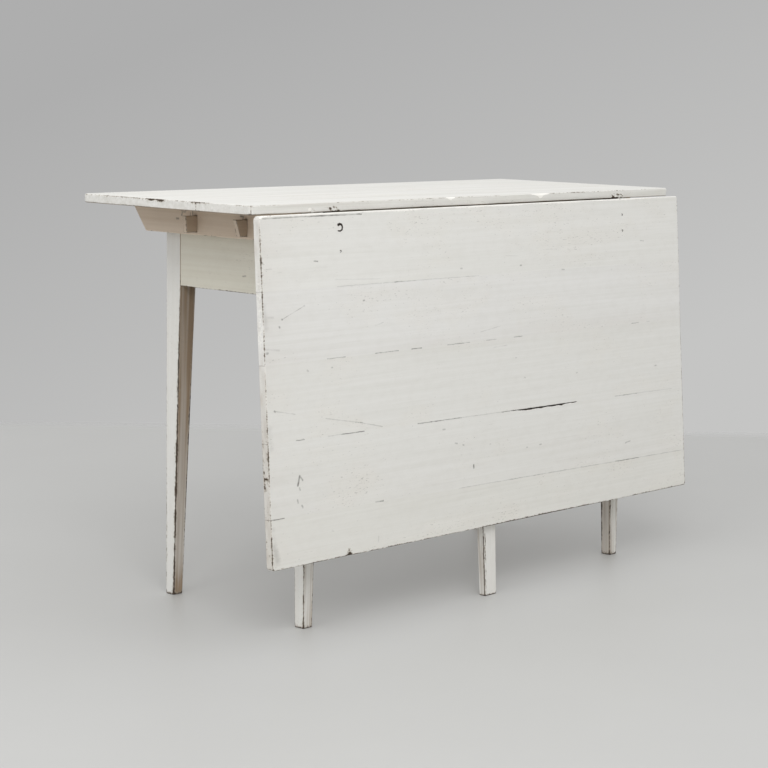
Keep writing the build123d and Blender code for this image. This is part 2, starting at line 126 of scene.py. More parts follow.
# %% [markdown]
# ## Floor, air and light
# A studio floor that ends a step behind the table gives the faint line where floor and wall meet. The
# wall is the world's own pale grey, so nothing stands in the way of a look from behind. The air is brighter
# overhead, as under a white ceiling, and fills the shadows. A soft box in front, a weaker one at the left and a
# faint one overhead give the faces their different tones.

# %% Floor
floor_behind = 1.82
floor_reach = 9.0
floor_fade = 0.10
floor_roughness = 0.45
scuff_scale = 3.0
floor_dark = linear("BCBCBA")
floor_light = linear("C0C0BE")
ground_view = Vector((forward.x, forward.y, 0)).normalized()
ground_side = Vector((ground_view.y, -ground_view.x, 0))

floor_mesh = bpy.data.meshes.new("floor")
floor_corners = [
    ground_view * along + ground_side * side * floor_reach
    for along, side in ((-floor_reach, -1), (-floor_reach, 1), (floor_behind, 1), (floor_behind, -1))
]
floor_mesh.from_pydata(floor_corners, [], [(0, 1, 2, 3)])
floor = bpy.data.objects.new("floor", floor_mesh)
bpy.context.collection.objects.link(floor)

floor_paint, tree = new_material("studio floor paint")
spot = add(tree, "ShaderNodeTexCoord").outputs["Object"]
depth = add(tree, "ShaderNodeVectorMath", {0: spot, 1: ground_view}, operation="DOT_PRODUCT").outputs["Value"]
fade = add(tree, "ShaderNodeMapRange",
           {"Value": depth, "From Min": floor_behind - floor_fade, "From Max": floor_behind}).outputs[0]
clouds = add(tree, "ShaderNodeTexNoise", {"Vector": spot, "Scale": scuff_scale, "Detail": 4.0}).outputs[0]
grey = add(tree, "ShaderNodeMix", {0: clouds, 6: floor_dark, 7: floor_light}, data_type="RGBA").outputs[2]
lacquer = add(tree, "ShaderNodeBsdfPrincipled", {"Base Color": grey, "Roughness": floor_roughness}).outputs[0]
clear = add(tree, "ShaderNodeBsdfTransparent").outputs[0]
blend = add(tree, "ShaderNodeMixShader", {0: fade, 1: lacquer, 2: clear}).outputs[0]
add(tree, "ShaderNodeOutputMaterial", {"Surface": blend})
floor_mesh.materials.append(floor_paint)
print("floor to", floor_behind, "m behind the table")

# %% Air
wall_low = linear("C5C5C4")
wall_high = linear("AEAEAE")
wall_lean = -0.45
wall_from, wall_to = -0.18, 0.06
ceiling_from, ceiling_to = 0.08, 0.4
ceiling_glow = 1.9

world = bpy.data.worlds.new("studio air")
world.use_nodes = True
world.node_tree.nodes.clear()
tree = world.node_tree
way = add(tree, "ShaderNodeTexCoord").outputs["Generated"]
height = add(tree, "ShaderNodeSeparateXYZ", {0: way}).outputs["Z"]
aside = add(tree, "ShaderNodeVectorMath", {0: way, 1: ground_side}, operation="DOT_PRODUCT").outputs["Value"]
slope = add(tree, "ShaderNodeMath", {0: aside, 1: wall_lean, 2: height}, operation="MULTIPLY_ADD").outputs[0]
rise = add(tree, "ShaderNodeMapRange", {"Value": slope, "From Min": wall_from, "From Max": wall_to}).outputs[0]
wall = add(tree, "ShaderNodeMix", {0: rise, 6: wall_low, 7: wall_high}, data_type="RGBA").outputs[2]
ceiling = add(tree, "ShaderNodeMapRange", {"Value": height, "From Min": ceiling_from, "From Max": ceiling_to,
                                           "To Min": 1.0, "To Max": ceiling_glow}).outputs[0]
air = add(tree, "ShaderNodeBackground", {"Color": wall, "Strength": ceiling}).outputs[0]
add(tree, "ShaderNodeOutputWorld", {"Surface": air})
bpy.context.scene.world = world
bpy.context.scene.view_settings.view_transform = "Standard"
print("air", ceiling_glow, "times as bright overhead as at the wall")

# %% Light
# Each soft box: where it stands and what it shines at in metres, its width in metres and its power in watts
soft_boxes = {
    "overhead soft box": ((-0.2, -0.3, 3.2), (0, 0, 0.6), 3.0, 8),
    "front soft box": ((-3.2, -3.8, 4.2), (0, 0, 0.5), 2.8, 124),
    "left fill": ((-3.8, -0.6, 3.0), (0, 0, 0.4), 2.2, 30),
}
for name, (stand, aim, width, watts) in soft_boxes.items():
    lamp = bpy.data.lights.new(name, "AREA")
    lamp.size = width
    lamp.energy = watts
    light = bpy.data.objects.new(name, lamp)
    towards = Vector(aim) - Vector(stand)
    light.matrix_world = Matrix.Translation(stand) @ towards.to_track_quat("-Z", "Y").to_matrix().to_4x4()
    bpy.context.collection.objects.link(light)
print("light from", ", ".join(soft_boxes))

# %% [markdown]
# ## Timber
# Every board, leg and rail is a straight timber with eased edges, some of it tapered or cut away. A bevel
# modifier would ease the edges evenly, but old edges are rubbed unevenly. So one function lays out a
# block of cells whose lines crowd together at the edges and leaves out the cells of any mortise. Wear is
# worked out point by point, from a smooth random field and a few curves that fall off with distance.

# %% Smooth random field
# Cell size in mm for a direction in which the field stays even
even = 9000


def drift(points, cell, seed):
    """Smooth random field from -1 to 1, one value for each point, that changes over a cell size in mm."""
    lattice = points / (np.array(cell) * mm)
    base = np.floor(lattice).astype(np.int64)
    part = lattice - base
    part = part * part * (3 - 2 * part)
    total = np.zeros(len(points))
    for corner in itertools.product((0, 1), repeat=3):
        # Large odd numbers stir the bits of each cell corner into a number of its own
        key = ((base + corner) * (73856093, 19349663, 83492791)).sum(1) + seed * 26544357
        key = (key ^ (key >> 13)) * 1274126177 & 0xFFFFFFFF
        key = (key ^ (key >> 16)) * 668265263 & 0xFFFFFFFF
        value = ((key ^ (key >> 15)) & 0xFFFF) / 32767.5 - 1
        total += value * np.prod(np.where(corner, part, 1 - part), axis=1)
    return total


print("field along one cell:", drift(np.linspace((0, 0, 0), (20 * mm, 0, 0), 4), (20, 20, 20), 1).round(2))

# %% Curves that fall off
def unit(values):
    """Values held between 0 and 1."""
    return np.clip(values, 0, 1)


def near(distance, reach):
    """1 at no distance, falling evenly to 0 over a reach."""
    return unit(1 - distance / reach)


def beyond(places, start, reach):
    """0 up to a place, rising evenly to 1 over a reach."""
    return unit((places - start) / reach)


def fading(distance, reach):
    """1 at no distance, falling quickly at first and to a third over a reach."""
    return np.exp(-distance / reach)


def hill(places, middle, reach):
    """1 at a place, falling off smoothly to both sides and to a third over a reach."""
    return np.exp(-((places - middle) / reach) ** 2)


print("share left at half the reach: near", near(0.5, 1), "and hill", round(hill(0.5, 0, 1), 2))

# %% Block of cells
edge_lines = np.array([0, 0.35, 0.8, 1.4, 2.2, 3.2, 4.6, 6.5]) * mm


def lines_across(length, step, cuts):
    """Places of the cell lines along one side: close at both edges, a step apart between, and at the cuts."""
    near_edge = edge_lines[edge_lines < length * 0.4]
    count = max(2, int((length - 2 * near_edge[-1]) / step) + 2)
    between = np.linspace(near_edge[-1], length - near_edge[-1], count)
    places = np.sort(np.concatenate([near_edge, between, length - near_edge, cuts]))
    return places[np.concatenate([[True], np.diff(places) > 0.05 * mm])]


def cell_block(size, steps, holes):
    """Points and outward quads of a block with boxes left out. A hole is a lowest and a highest corner."""
    cuts = [[corner[axis] for hole in holes for corner in hole if 0 < corner[axis] < size[axis]]
            for axis in range(3)]
    lines = [lines_across(size[axis], steps[axis], cuts[axis]) for axis in range(3)]
    middles = [(line[1:] + line[:-1]) / 2 for line in lines]
    wood = np.ones([len(m) for m in middles], bool)
    for low, high in holes:
        inside = [(m > low[axis]) & (m < high[axis]) for axis, m in enumerate(middles)]
        wood[np.ix_(*inside)] = False
    padded = np.pad(wood, 1)
    quads = []
    for axis in range(3):
        one, two = (axis + 1) % 3, (axis + 2) % 3
        for way in (1, -1):
            open_side = wood & ~np.roll(padded, -way, axis)[1:-1, 1:-1, 1:-1]
            cells = np.argwhere(open_side)
            cells[:, axis] += way > 0
            for_quad = []
            for first, second in ((0, 0), (1, 0), (1, 1), (0, 1))[::way]:
                corner = cells.copy()
                corner[:, one] += first
                corner[:, two] += second
                for_quad.append(corner)
            quads.append(np.stack(for_quad, 1))
    corners = np.concatenate(quads).reshape(-1, 3)
    used, index = np.unique(corners, axis=0, return_inverse=True)
    points = np.stack([lines[axis][used[:, axis]] for axis in range(3)], 1)
    return points, index.reshape(-1, 4)


print("a side of 100 mm has", len(lines_across(100 * mm, 5 * mm, [])), "cell lines at a step of 5 mm")

# %% [markdown]
# ## From a block to a worn timber
# Each timber is made in its own frame: its grain runs along the first side, and the other two are its
# width and thickness. Its corner points are pushed in to a radius that wanders along the edge, and a last
# function sets it in its place in the table. Five values are stored with the points for the paint to read: the
# place in the timber, a number of its own so that no two grains match, how worn the paint is, how bare the
# wood was left, and how much chalk white shows: the chalk ground where the paint is rubbed down, and a
# painted highlight along the leaf's upper edge and left end.

# %% Rounded edges
made = {}


def hand_over(piece, body, nodes):
    """Puts a finished piece in the scene, on its body and in place of its solids."""
    bpy.context.collection.objects.link(piece)
    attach(piece, body)
    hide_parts(*nodes)
    made[piece.name] = len(piece.data.polygons)
    return piece


def eased(points, low, high, radius):
    """Points of a block with its edges rounded to a radius that may differ from point to point."""
    inner = np.clip(points, low + radius[:, None], high - radius[:, None])
    away = points - inner
    length = np.linalg.norm(away, axis=1)
    return inner + away * np.minimum(1, radius / np.maximum(length, 1e-9))[:, None]


def rounded_corner(bent, size, side_u, side_v, corner_radius):
    """Rounds one corner of a board's outline: side 0 or 1 along its length and across it."""
    u = corner_radius - (size[0] - bent[:, 0] if side_u else bent[:, 0])
    v = corner_radius - (size[1] - bent[:, 1] if side_v else bent[:, 1])
    at = (u > 0) & (v > 0)
    share = np.where(at, np.maximum(u, v) / np.maximum(np.hypot(u, v), 1e-9), 1)
    bent[:, 0] += np.where(at, (1 - share) * u * (-1 if side_u else 1), 0)
    bent[:, 1] += np.where(at, (1 - share) * v * (-1 if side_v else 1), 0)


def edge_distance(points, low, high):
    """Distance along the surface from each point to the nearest edge of the block."""
    return np.sort(np.minimum(np.abs(points - low), np.abs(high - points)), axis=1)[:, 1]


# %% Worn timber
rub_cell = (70, 70, 70)
nick_cell = (16, 16, 16)
seed_spacing = 7.31
sharp_angle = math.radians(50)


def timber(name, size, place, body, nodes, material, seed, radius=1.2, worn=0.45, holes=(),
           joined=(), steps=(5.0, 5.0, 5.0), round_corners=(), shape=None, wear=None, bare=None, ground=None,
           origin=(0, 0, 0)):
    """One worn timber, with its edge radius and its cell steps in mm. place turns points of its own frame
    into the table's; joined lists the sides of its width that are glued to a neighbour, which stay flat;
    shape, wear, bare and ground add what this piece needs."""
    size = np.array(size)
    points, quads = cell_block(size, np.array(steps) * mm, holes)
    low = np.array([0.0, -1.0 if 0 in joined else 0.0, 0.0])
    high = size + [0.0, 1.0 if 1 in joined else 0.0, 0.0]
    local = points + np.array(origin)
    rubbed = drift(local, rub_cell, seed)
    nicked = drift(local, nick_cell, seed + 1)
    soft_radius = radius * mm * (1 + 0.45 * rubbed + unit(nicked - 0.45))
    extra_radius, extra_wear = (wear(local, seed) if wear else (0.0, 0.0))
    near_edge = fading(edge_distance(points, low, high), 0.9 * radius * mm)
    worn_away = near_edge * (worn + 0.32 * rubbed + 0.28 * nicked) + extra_wear
    bent = eased(points, low, high, np.clip(soft_radius + extra_radius, 0.1 * mm, size.min() * 0.45))
    for corner in round_corners:
        rounded_corner(bent, size, *corner)
    if shape:
        bent = shape(bent, points)
    spots = place(bent)
    mirrored = np.linalg.det(place(np.eye(3) * 0.01) - place(np.zeros((1, 3)))) < 0
    if mirrored:
        quads = quads[:, ::-1]
    mesh = bpy.data.meshes.new(name)
    mesh.from_pydata(spots.tolist(), [], quads.tolist())
    mesh.shade_smooth()
    mesh.set_sharp_from_angle(angle=sharp_angle)
    in_timber = (bent + np.array(origin)).astype(np.float32)
    mesh.attributes.new("timber", "FLOAT_VECTOR", "POINT").data.foreach_set("vector", in_timber.ravel())
    for label, values in (
        ("seed", np.full(len(points), seed * seed_spacing)),
        ("wear", unit(worn_away)),
        ("bare", unit(bare(points, size)) if bare else np.zeros(len(points))),
        ("ground", unit(ground(local)) if ground else np.zeros(len(points))),
    ):
        mesh.attributes.new(label, "FLOAT", "POINT").data.foreach_set("value", values.astype(np.float32))
    mesh.materials.append(material)
    return hand_over(bpy.data.objects.new(name, mesh), body, nodes)


# %% [markdown]
# ## Old oil paint on pine
# The paint is an off-white oil paint, brushed along the boards and rubbed by use. It is a
# satin film with faint brush lines over the grain, dark pinholes where it never filled the wood, a dirty
# rim around each bare spot, its white chalk ground where it was rubbed through, and dark brown pine where all
# of it has gone. Along the leaf's upper edge and on its left end the same chalk white is a painted highlight.
# The values stored with the points say where that is likely, and noise at the size of
# real flakes decides the outline. Brush lines and flakes are drawn a little coarser than real ones, so that
# they show.

# %% Sizes and colours of the paint
# Size of each pattern along the grain and across it, and its detail
paint_noises = {
    "grain": (160 * mm, 2.6 * mm, 4.0),
    "brush": (420 * mm, 7 * mm, 2.0),
    "blotch": (180 * mm, 90 * mm, 3.0),
    "flake": (6.4 * mm, 3.2 * mm, 3.0),
    "pinhole": (7 * mm, 1.7 * mm, 1.0),
    "mottle": (22.4 * mm, 14 * mm, 4.0),
}
# Where a value starts to show, where it shows in full, and how much of its colour it then gives
shown = {
    "brush": (0.35, 0.7, 1.0),
    "blotch": (0.5, 0.8, 0.35),
    "grain": (0.58, 0.78, 0.10),
    "mottle": (0.45, 0.75, 0.07),
    "pinhole": (0.955, 1.03, 0.42),
    "rim": (0.24, 0.5, 0.75),
    "gone": (0.46, 0.62, 1.0),
    # chalk: the chalk ground, and on the leaf's upper edge and left end a painted highlight
    "chalk": (0.38, 0.55, 1.0),
}
paint_white = linear("E4E3DF")
paint_shade = linear("DFDED9")
paint_cream = linear("E5E0D6")
# Chalk white of the ground, also a painted highlight on the leaf's upper edge and left end
chalk_ground_and_highlight = linear("F6F4EE")
paint_dirt = linear("A9A092")
pinhole_dirt = linear("7C7A75")
scratch_dirt = linear("46423B")
rubbed_pine = linear("2F2720")
rubbed_pine_light = linear("57483A")
# Old pine under thin paint: real thin paint, and also painted shade low on the legs' front faces and the swing
# leg's left face
old_pine_light = linear("75614C")
thin_paint_and_painted_shade = linear("B09A82")
paint_ior = 1.48
satin, matt = 0.42, 0.6
print("paint noises:", ", ".join(paint_noises))


# %% Old oil paint on pine
def painted_pine(name, scratches=(), white=paint_white, shade=paint_shade):
    """Old off-white oil paint. scratches, if given, are the marks of one board face."""
    material, tree = new_material(name)
    place = add(tree, "ShaderNodeAttribute", attribute_name="timber").outputs["Vector"]
    seed, wear, bare, ground = (add(tree, "ShaderNodeAttribute", attribute_name=label).outputs["Fac"]
                                for label in ("seed", "wear", "bare", "ground"))
    noise = {}
    for label, (along, across, detail) in paint_noises.items():
        scale = (1 / along, 1 / across, 1 / across)
        pattern = add(tree, "ShaderNodeMapping", {"Vector": place, "Scale": scale}).outputs[0]
        noise[label] = add(
            tree, "ShaderNodeTexNoise",
            {"Vector": pattern, "W": seed, "Scale": 1.0, "Detail": detail, "Roughness": 0.6},
            noise_dimensions="4D",
        ).outputs[0]

    # Pinholes gather where the slow blotches are, and the stored wear is broken up by flakes
    pinhole = add(tree, "ShaderNodeMath", {0: noise["blotch"], 1: 0.5, 2: noise["pinhole"]},
                  operation="MULTIPLY_ADD").outputs[0]
    flake = add(tree, "ShaderNodeMath", {0: noise["flake"], 1: 0.5}, operation="SUBTRACT").outputs[0]
    lively = add(tree, "ShaderNodeMath", {0: wear, 1: 6.0}, operation="MULTIPLY", use_clamp=True).outputs[0]
    broken = add(tree, "ShaderNodeMath", {0: flake, 1: lively}, operation="MULTIPLY").outputs[0]
    worn = add(tree, "ShaderNodeMath", {0: broken, 1: 1.6, 2: wear}, operation="MULTIPLY_ADD").outputs[0]
    # The ground value brings in chalk white: the chalk ground, and on the leaf a painted highlight
    chalk_and_highlight = add(tree, "ShaderNodeMath", {0: flake, 1: 0.7, 2: ground}, operation="MULTIPLY_ADD").outputs[0]
    wood = add(tree, "ShaderNodeMix", {0: noise["grain"], 6: rubbed_pine, 7: rubbed_pine_light},
               data_type="RGBA").outputs[2]
    thin = add(tree, "ShaderNodeMix", {0: noise["grain"], 6: old_pine_light, 7: thin_paint_and_painted_shade},
               data_type="RGBA").outputs[2]

    # From the fresh film to the bare wood, each layer covers part of the one before
    parts = {"bare": bare}
    for label, value in (("brush", noise["brush"]), ("blotch", noise["blotch"]), ("grain", noise["grain"]),
                         ("mottle", noise["mottle"]), ("rim", worn), ("chalk", chalk_and_highlight), ("pinhole", pinhole),
                         ("gone", worn)):
        start, full, most = shown[label]
        smooth = "SMOOTHSTEP" if label in ("rim", "gone") else "LINEAR"
        parts[label] = add(tree, "ShaderNodeMapRange",
                           {"Value": value, "From Min": start, "From Max": full, "To Max": most},
                           interpolation_type=smooth).outputs[0]
    colour = white
    for label, layer in (("brush", shade), ("blotch", paint_cream), ("grain", paint_dirt),
                         ("mottle", paint_dirt), ("bare", thin), ("rim", paint_dirt), ("chalk", chalk_ground_and_highlight),
                         ("pinhole", pinhole_dirt), ("gone", wood)):
        colour = add(tree, "ShaderNodeMix", {0: parts[label], 6: colour, 7: layer}, data_type="RGBA").outputs[2]

    # Marks are drawn last, a little broken
    if scratches:
        mark = strongest_mark(tree, place, noise["flake"], scratches)
        breaks = add(tree, "ShaderNodeMapRange",
                     {"Value": noise["mottle"], "From Min": 0.38, "From Max": 0.58, "To Min": 0.3}).outputs[0]
        mark = add(tree, "ShaderNodeMath", {0: mark, 1: breaks}, operation="MULTIPLY").outputs[0]
        colour = add(tree, "ShaderNodeMix", {0: mark, 6: colour, 7: scratch_dirt}, data_type="RGBA").outputs[2]

    # The film stands above the bare wood, and its brush lines and grain are felt as fine ridges
    relief = add(tree, "ShaderNodeMath", {0: noise["brush"], 1: 0.6, 2: noise["mottle"]},
                 operation="MULTIPLY_ADD").outputs[0]
    relief = add(tree, "ShaderNodeMath", {0: parts["gone"], 1: -1.6, 2: relief},
                 operation="MULTIPLY_ADD").outputs[0]
    ridges = add(tree, "ShaderNodeBump", {"Height": relief, "Strength": 0.2, "Distance": 0.3 * mm}).outputs[0]
    gloss = add(tree, "ShaderNodeMapRange",
                {"Value": noise["brush"], "To Min": satin, "To Max": matt}).outputs[0]
    gloss = add(tree, "ShaderNodeMath", {0: parts["gone"], 1: 0.3, 2: gloss},
                operation="MULTIPLY_ADD").outputs[0]
    skin = add(tree, "ShaderNodeBsdfPrincipled",
               {"Base Color": colour, "Roughness": gloss, "Normal": ridges, "IOR": paint_ior}).outputs[0]
    add(tree, "ShaderNodeOutputMaterial", {"Surface": skin})
    return material


# %% [markdown]
# ## Scratches of the leaf
# The leaf's face carries single marks that anyone who knows the table would look for: a long scratch that
# crosses a joint, nicks, dents, smudges and dots. Each is a short line on the face, so a small node group
# measures the distance from a point to that line, and the strongest of all marks wins. Drawing them in
# the shader keeps them sharp at any distance, which points a few millimetres apart could not.

# %% Distance to a scratch
scratch_group = bpy.data.node_groups.new("distance to a scratch", "ShaderNodeTree")
for label, kind in (("Place", "NodeSocketVector"), ("Start", "NodeSocketVector"), ("Run", "NodeSocketVector"),
                    ("Half Width", "NodeSocketFloat"), ("Depth", "NodeSocketFloat")):
    scratch_group.interface.new_socket(label, in_out="INPUT", socket_type=kind)
scratch_group.interface.new_socket("Mark", in_out="OUTPUT", socket_type="NodeSocketFloat")
given = add(scratch_group, "NodeGroupInput").outputs
offset = add(scratch_group, "ShaderNodeVectorMath", {0: given["Place"], 1: given["Start"]},
             operation="SUBTRACT").outputs[0]
reach = add(scratch_group, "ShaderNodeVectorMath", {0: offset, 1: given["Run"]},
            operation="DOT_PRODUCT").outputs["Value"]
whole = add(scratch_group, "ShaderNodeVectorMath", {0: given["Run"], 1: given["Run"]},
            operation="DOT_PRODUCT").outputs["Value"]
share = add(scratch_group, "ShaderNodeMath", {0: reach, 1: whole},
            operation="DIVIDE", use_clamp=True).outputs[0]
foot = add(scratch_group, "ShaderNodeVectorMath", {0: given["Run"], "Scale": share},
           operation="SCALE").outputs[0]
gap = add(scratch_group, "ShaderNodeVectorMath", {0: offset, 1: foot}, operation="DISTANCE").outputs["Value"]
ratio = add(scratch_group, "ShaderNodeMath", {0: gap, 1: given["Half Width"]}, operation="DIVIDE").outputs[0]
fall = add(scratch_group, "ShaderNodeMapRange",
           {"Value": ratio, "From Min": 1.6, "From Max": 0.2, "To Max": given["Depth"]}).outputs[0]
add(scratch_group, "NodeGroupOutput", {"Mark": fall})
print("scratch group of", len(scratch_group.nodes), "nodes")

# %% Scratches of the leaf
# Each mark: start along the leaf and down it, end along and down, half width (all in mm), and depth from 0 to 1
leaf_scratches = [
    (-554, 178, -500, 158, 0.6, 0.45), (-554, 178, -553, 178, 1.6, 0.8), (-500, 158, -499, 158, 1.4, 0.72),
    (-561, 190, -560, 191, 1.6, 0.8), (-472, 82, -463, 83, 1.1, 0.72), (466, 87, 477, 88, 1.0, 0.51),
    (-580, 333, -531, 343, 0.7, 0.36), (-580, 333, -578, 334, 1.4, 0.64), (-457, 358, -371, 374, 0.8, 0.3),
    (-371, 374, -315, 387, 0.8, 0.34), (-371, 374, -366, 375, 1.1, 0.6), (-324, 205, -303, 200, 0.7, 0.32),
    (-39, 237, 19, 230, 0.7, 0.24), (-2, 269, 37, 268, 0.8, 0.24), (-421, 117, -303, 122, 0.9, 0.13),
    (-526, 451, -531, 467, 1.8, 0.88), (-524, 453, -519, 459, 1.5, 0.64), (-527, 472, -526, 475, 1.5, 0.64),
    (-533, 492, -532, 497, 1.6, 0.64), (-523, 503, -521, 506, 1.6, 0.64), (-339, 521, -319, 522, 1.3, 0.88),
    (-353, 158, -350, 158, 1.5, 0.64), (-498, 270, -496, 271, 1.6, 0.4), (-439, 270, -436, 270, 1.2, 0.4),
    (-153, 410, -147, 410, 1.4, 0.51), (-120, 439, -115, 440, 1.4, 0.51), (-99, 444, -96, 445, 1.2, 0.48),
    (-70, 486, -70, 491, 1.6, 0.88), (126, 469, 131, 469, 1.2, 0.48), (86, 470, 89, 470, 1.2, 0.4),
    (-22, 452, -19, 452, 1.2, 0.32), (400, 496, 416, 494, 1.1, 0.4), (-451, 557, -448, 558, 1.5, 0.32),
    (-334, 584, -335, 594, 1.2, 0.19), (-90, 115, -86, 115, 1.4, 0.48), (82, 118, 86, 118, 1.3, 0.48),
    (209, 132, 216, 133, 1.4, 0.4), (366, 141, 369, 141, 1.3, 0.32), (506, 347, 511, 347, 1.2, 0.4),
    (245, 339, 249, 339, 1.2, 0.32), (61, 294, 64, 294, 1.2, 0.32), (86, 334, 88, 335, 1.2, 0.32),
    (40, 97, 79, 100, 0.8, 0.13), (160, 91, 195, 92, 0.8, 0.13), (-598, 226, -563, 230, 1.6, 0.16),
    (-595, 172, -574, 173, 1.8, 0.13), (-591, 91, -574, 91, 1.2, 0.13), (-593, 233, -590, 233, 1.8, 0.8),
    (-594, 150, -592, 190, 5.0, 0.14), (-594, 362, -591, 394, 6.0, 0.16), (-593, 535, -591, 560, 4.0, 0.12),
    (-592, 566, -586, 592, 6.0, 0.24), (-590, 5, -480, 4.5, 1.0, 0.6), (-490, 4.5, -350, 5, 1.1, 0.95),
]
scratch_sway = 2.2 * mm


def strongest_mark(tree, place, flake, scratches):
    """Strongest of some marks at a place of a board's face, with a slightly ragged outline."""
    ragged = add(tree, "ShaderNodeMath", {0: flake, 1: 0.5}, operation="SUBTRACT").outputs[0]
    sway = add(tree, "ShaderNodeCombineXYZ", {"Y": ragged}).outputs[0]
    shifted = add(tree, "ShaderNodeVectorMath", {0: sway, "Scale": scratch_sway}, operation="SCALE").outputs[0]
    spot = add(tree, "ShaderNodeVectorMath", {0: place, 1: shifted}, operation="ADD").outputs[0]
    strongest = None
    for x, s, end_x, end_s, half_width, depth in scratches:
        mark = add(tree, "ShaderNodeGroup", node_tree=scratch_group)
        tree.links.new(spot, mark.inputs["Place"])
        mark.inputs["Start"].default_value = (x * mm, s * mm, 0)
        mark.inputs["Run"].default_value = ((end_x - x) * mm, (end_s - s) * mm, 0)
        mark.inputs["Half Width"].default_value = half_width * mm
        mark.inputs["Depth"].default_value = depth
        if strongest is None:
            strongest = mark.outputs[0]
        else:
            strongest = add(tree, "ShaderNodeMath", {0: strongest, 1: mark.outputs[0]},
                            operation="MAXIMUM").outputs[0]
    return strongest


print(len(leaf_scratches), "marks on the leaf")

# %% Paints of the table
# Each film: its white and the shade of its brush lines
scrubbed_film = linear("EAE9E5"), linear("D8D7D1")
yellowed_film = linear("DFDCCF"), linear("DAD6C8")
stained_film = linear("ECDCC9"), linear("E2D0BB")
frame_paint = painted_pine("old oil paint on pine")
top_paint = painted_pine("old oil paint on pine, scrubbed", (), *scrubbed_film)
apron_paint = painted_pine("old oil paint on pine, yellowed in the shade", (), *yellowed_film)
batten_paint = painted_pine("thin brown-stained paint on pine", (), *stained_film)
print("paints:", [paint.name for paint in (frame_paint, top_paint, apron_paint, batten_paint)])

# %% [markdown]
# ## Bare pine and forged iron
# The gate behind the leaf was never painted: handled pine, brown with age, its grain darker
# than its ground. The hinges, nails and pins were forged by hand, so their iron is dull and dark, with the
# shallow dents of the hammer and a little rust.

# %% Bare pine
streak_sides = (120 * mm, 3 * mm, 3 * mm)
cloud_sides = (60 * mm, 40 * mm, 40 * mm)
aged_pine_dark = linear("5A4632")
aged_pine_light = linear("8F7758")
planed_roughness = 0.7


def bare_pine(name):
    """Unpainted pine, browned by age."""
    material, tree = new_material(name)
    place = add(tree, "ShaderNodeTexCoord").outputs["Object"]
    noise = {}
    for label, sides, detail in (("streak", streak_sides, 5.0), ("cloud", cloud_sides, 2.0)):
        scale = [1 / side for side in sides]
        pattern = add(tree, "ShaderNodeMapping", {"Vector": place, "Scale": scale}).outputs[0]
        noise[label] = add(tree, "ShaderNodeTexNoise",
                           {"Vector": pattern, "Scale": 1.0, "Detail": detail}).outputs[0]
    mixed = add(tree, "ShaderNodeMath", {0: noise["streak"], 1: 0.7, 2: noise["cloud"]},
                operation="MULTIPLY_ADD").outputs[0]
    share = add(tree, "ShaderNodeMapRange", {"Value": mixed, "From Min": 0.6, "From Max": 1.1}).outputs[0]
    colour = add(tree, "ShaderNodeMix", {0: share, 6: aged_pine_dark, 7: aged_pine_light},
                 data_type="RGBA").outputs[2]
    ridges = add(tree, "ShaderNodeBump",
                 {"Height": noise["streak"], "Strength": 0.3, "Distance": 0.3 * mm}).outputs[0]
    skin = add(tree, "ShaderNodeBsdfPrincipled",
               {"Base Color": colour, "Roughness": planed_roughness, "Normal": ridges}).outputs[0]
    add(tree, "ShaderNodeOutputMaterial", {"Surface": skin})
    return material


gate_pine = bare_pine("bare pine browned by age")
print("bare pine:", gate_pine.name)

# %% Forged iron
hammer_mark = 9 * mm
scale_grit = 1.5 * mm
iron_scale = linear("3A3734")
iron_rust = linear("5B3F2C")
scale_metallic, rust_metallic = 0.85, 0.1
forged_roughness = 0.55


def forged_iron(name):
    """Hand-forged iron, dark with scale and a little rust."""
    material, tree = new_material(name)
    place = add(tree, "ShaderNodeTexCoord").outputs["Object"]
    noise = {}
    for label, side, detail in (("dents", hammer_mark, 2.0), ("grit", scale_grit, 3.0)):
        pattern = add(tree, "ShaderNodeMapping", {"Vector": place, "Scale": [1 / side] * 3}).outputs[0]
        noise[label] = add(tree, "ShaderNodeTexNoise",
                           {"Vector": pattern, "Scale": 1.0, "Detail": detail}).outputs[0]
    rust = add(tree, "ShaderNodeMapRange",
               {"Value": noise["grit"], "From Min": 0.52, "From Max": 0.7, "To Max": 0.8}).outputs[0]
    colour = add(tree, "ShaderNodeMix", {0: rust, 6: iron_scale, 7: iron_rust}, data_type="RGBA").outputs[2]
    metal = add(tree, "ShaderNodeMapRange",
                {"Value": rust, "To Min": scale_metallic, "To Max": rust_metallic}).outputs[0]
    hammered = add(tree, "ShaderNodeMath", {0: noise["grit"], 1: 0.15, 2: noise["dents"]},
                   operation="MULTIPLY_ADD").outputs[0]
    relief = add(tree, "ShaderNodeBump", {"Height": hammered, "Strength": 0.5, "Distance": 0.8 * mm}).outputs[0]
    skin = add(tree, "ShaderNodeBsdfPrincipled",
               {"Base Color": colour, "Metallic": metal, "Roughness": forged_roughness,
                "Normal": relief}).outputs[0]
    add(tree, "ShaderNodeOutputMaterial", {"Surface": skin})
    return material


hinge_iron = forged_iron("hand-forged iron")
print("iron:", hinge_iron.name)

# %% [markdown]
# ## The leaf
# Five boards, glued edge to edge. They are drawn as they lie when the leaf is up, then turned about
# the hinge line to hang, exactly as the joint will turn them back. The glue has held in most places; where it
# hasn't, the paint shows a dark line, and one joint has opened into a crack that ends abruptly.

# %% Place of the leaf
def box_of(node):
    """Lowest and highest corner of a node as arrays."""
    return [np.array(corner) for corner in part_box(node)]


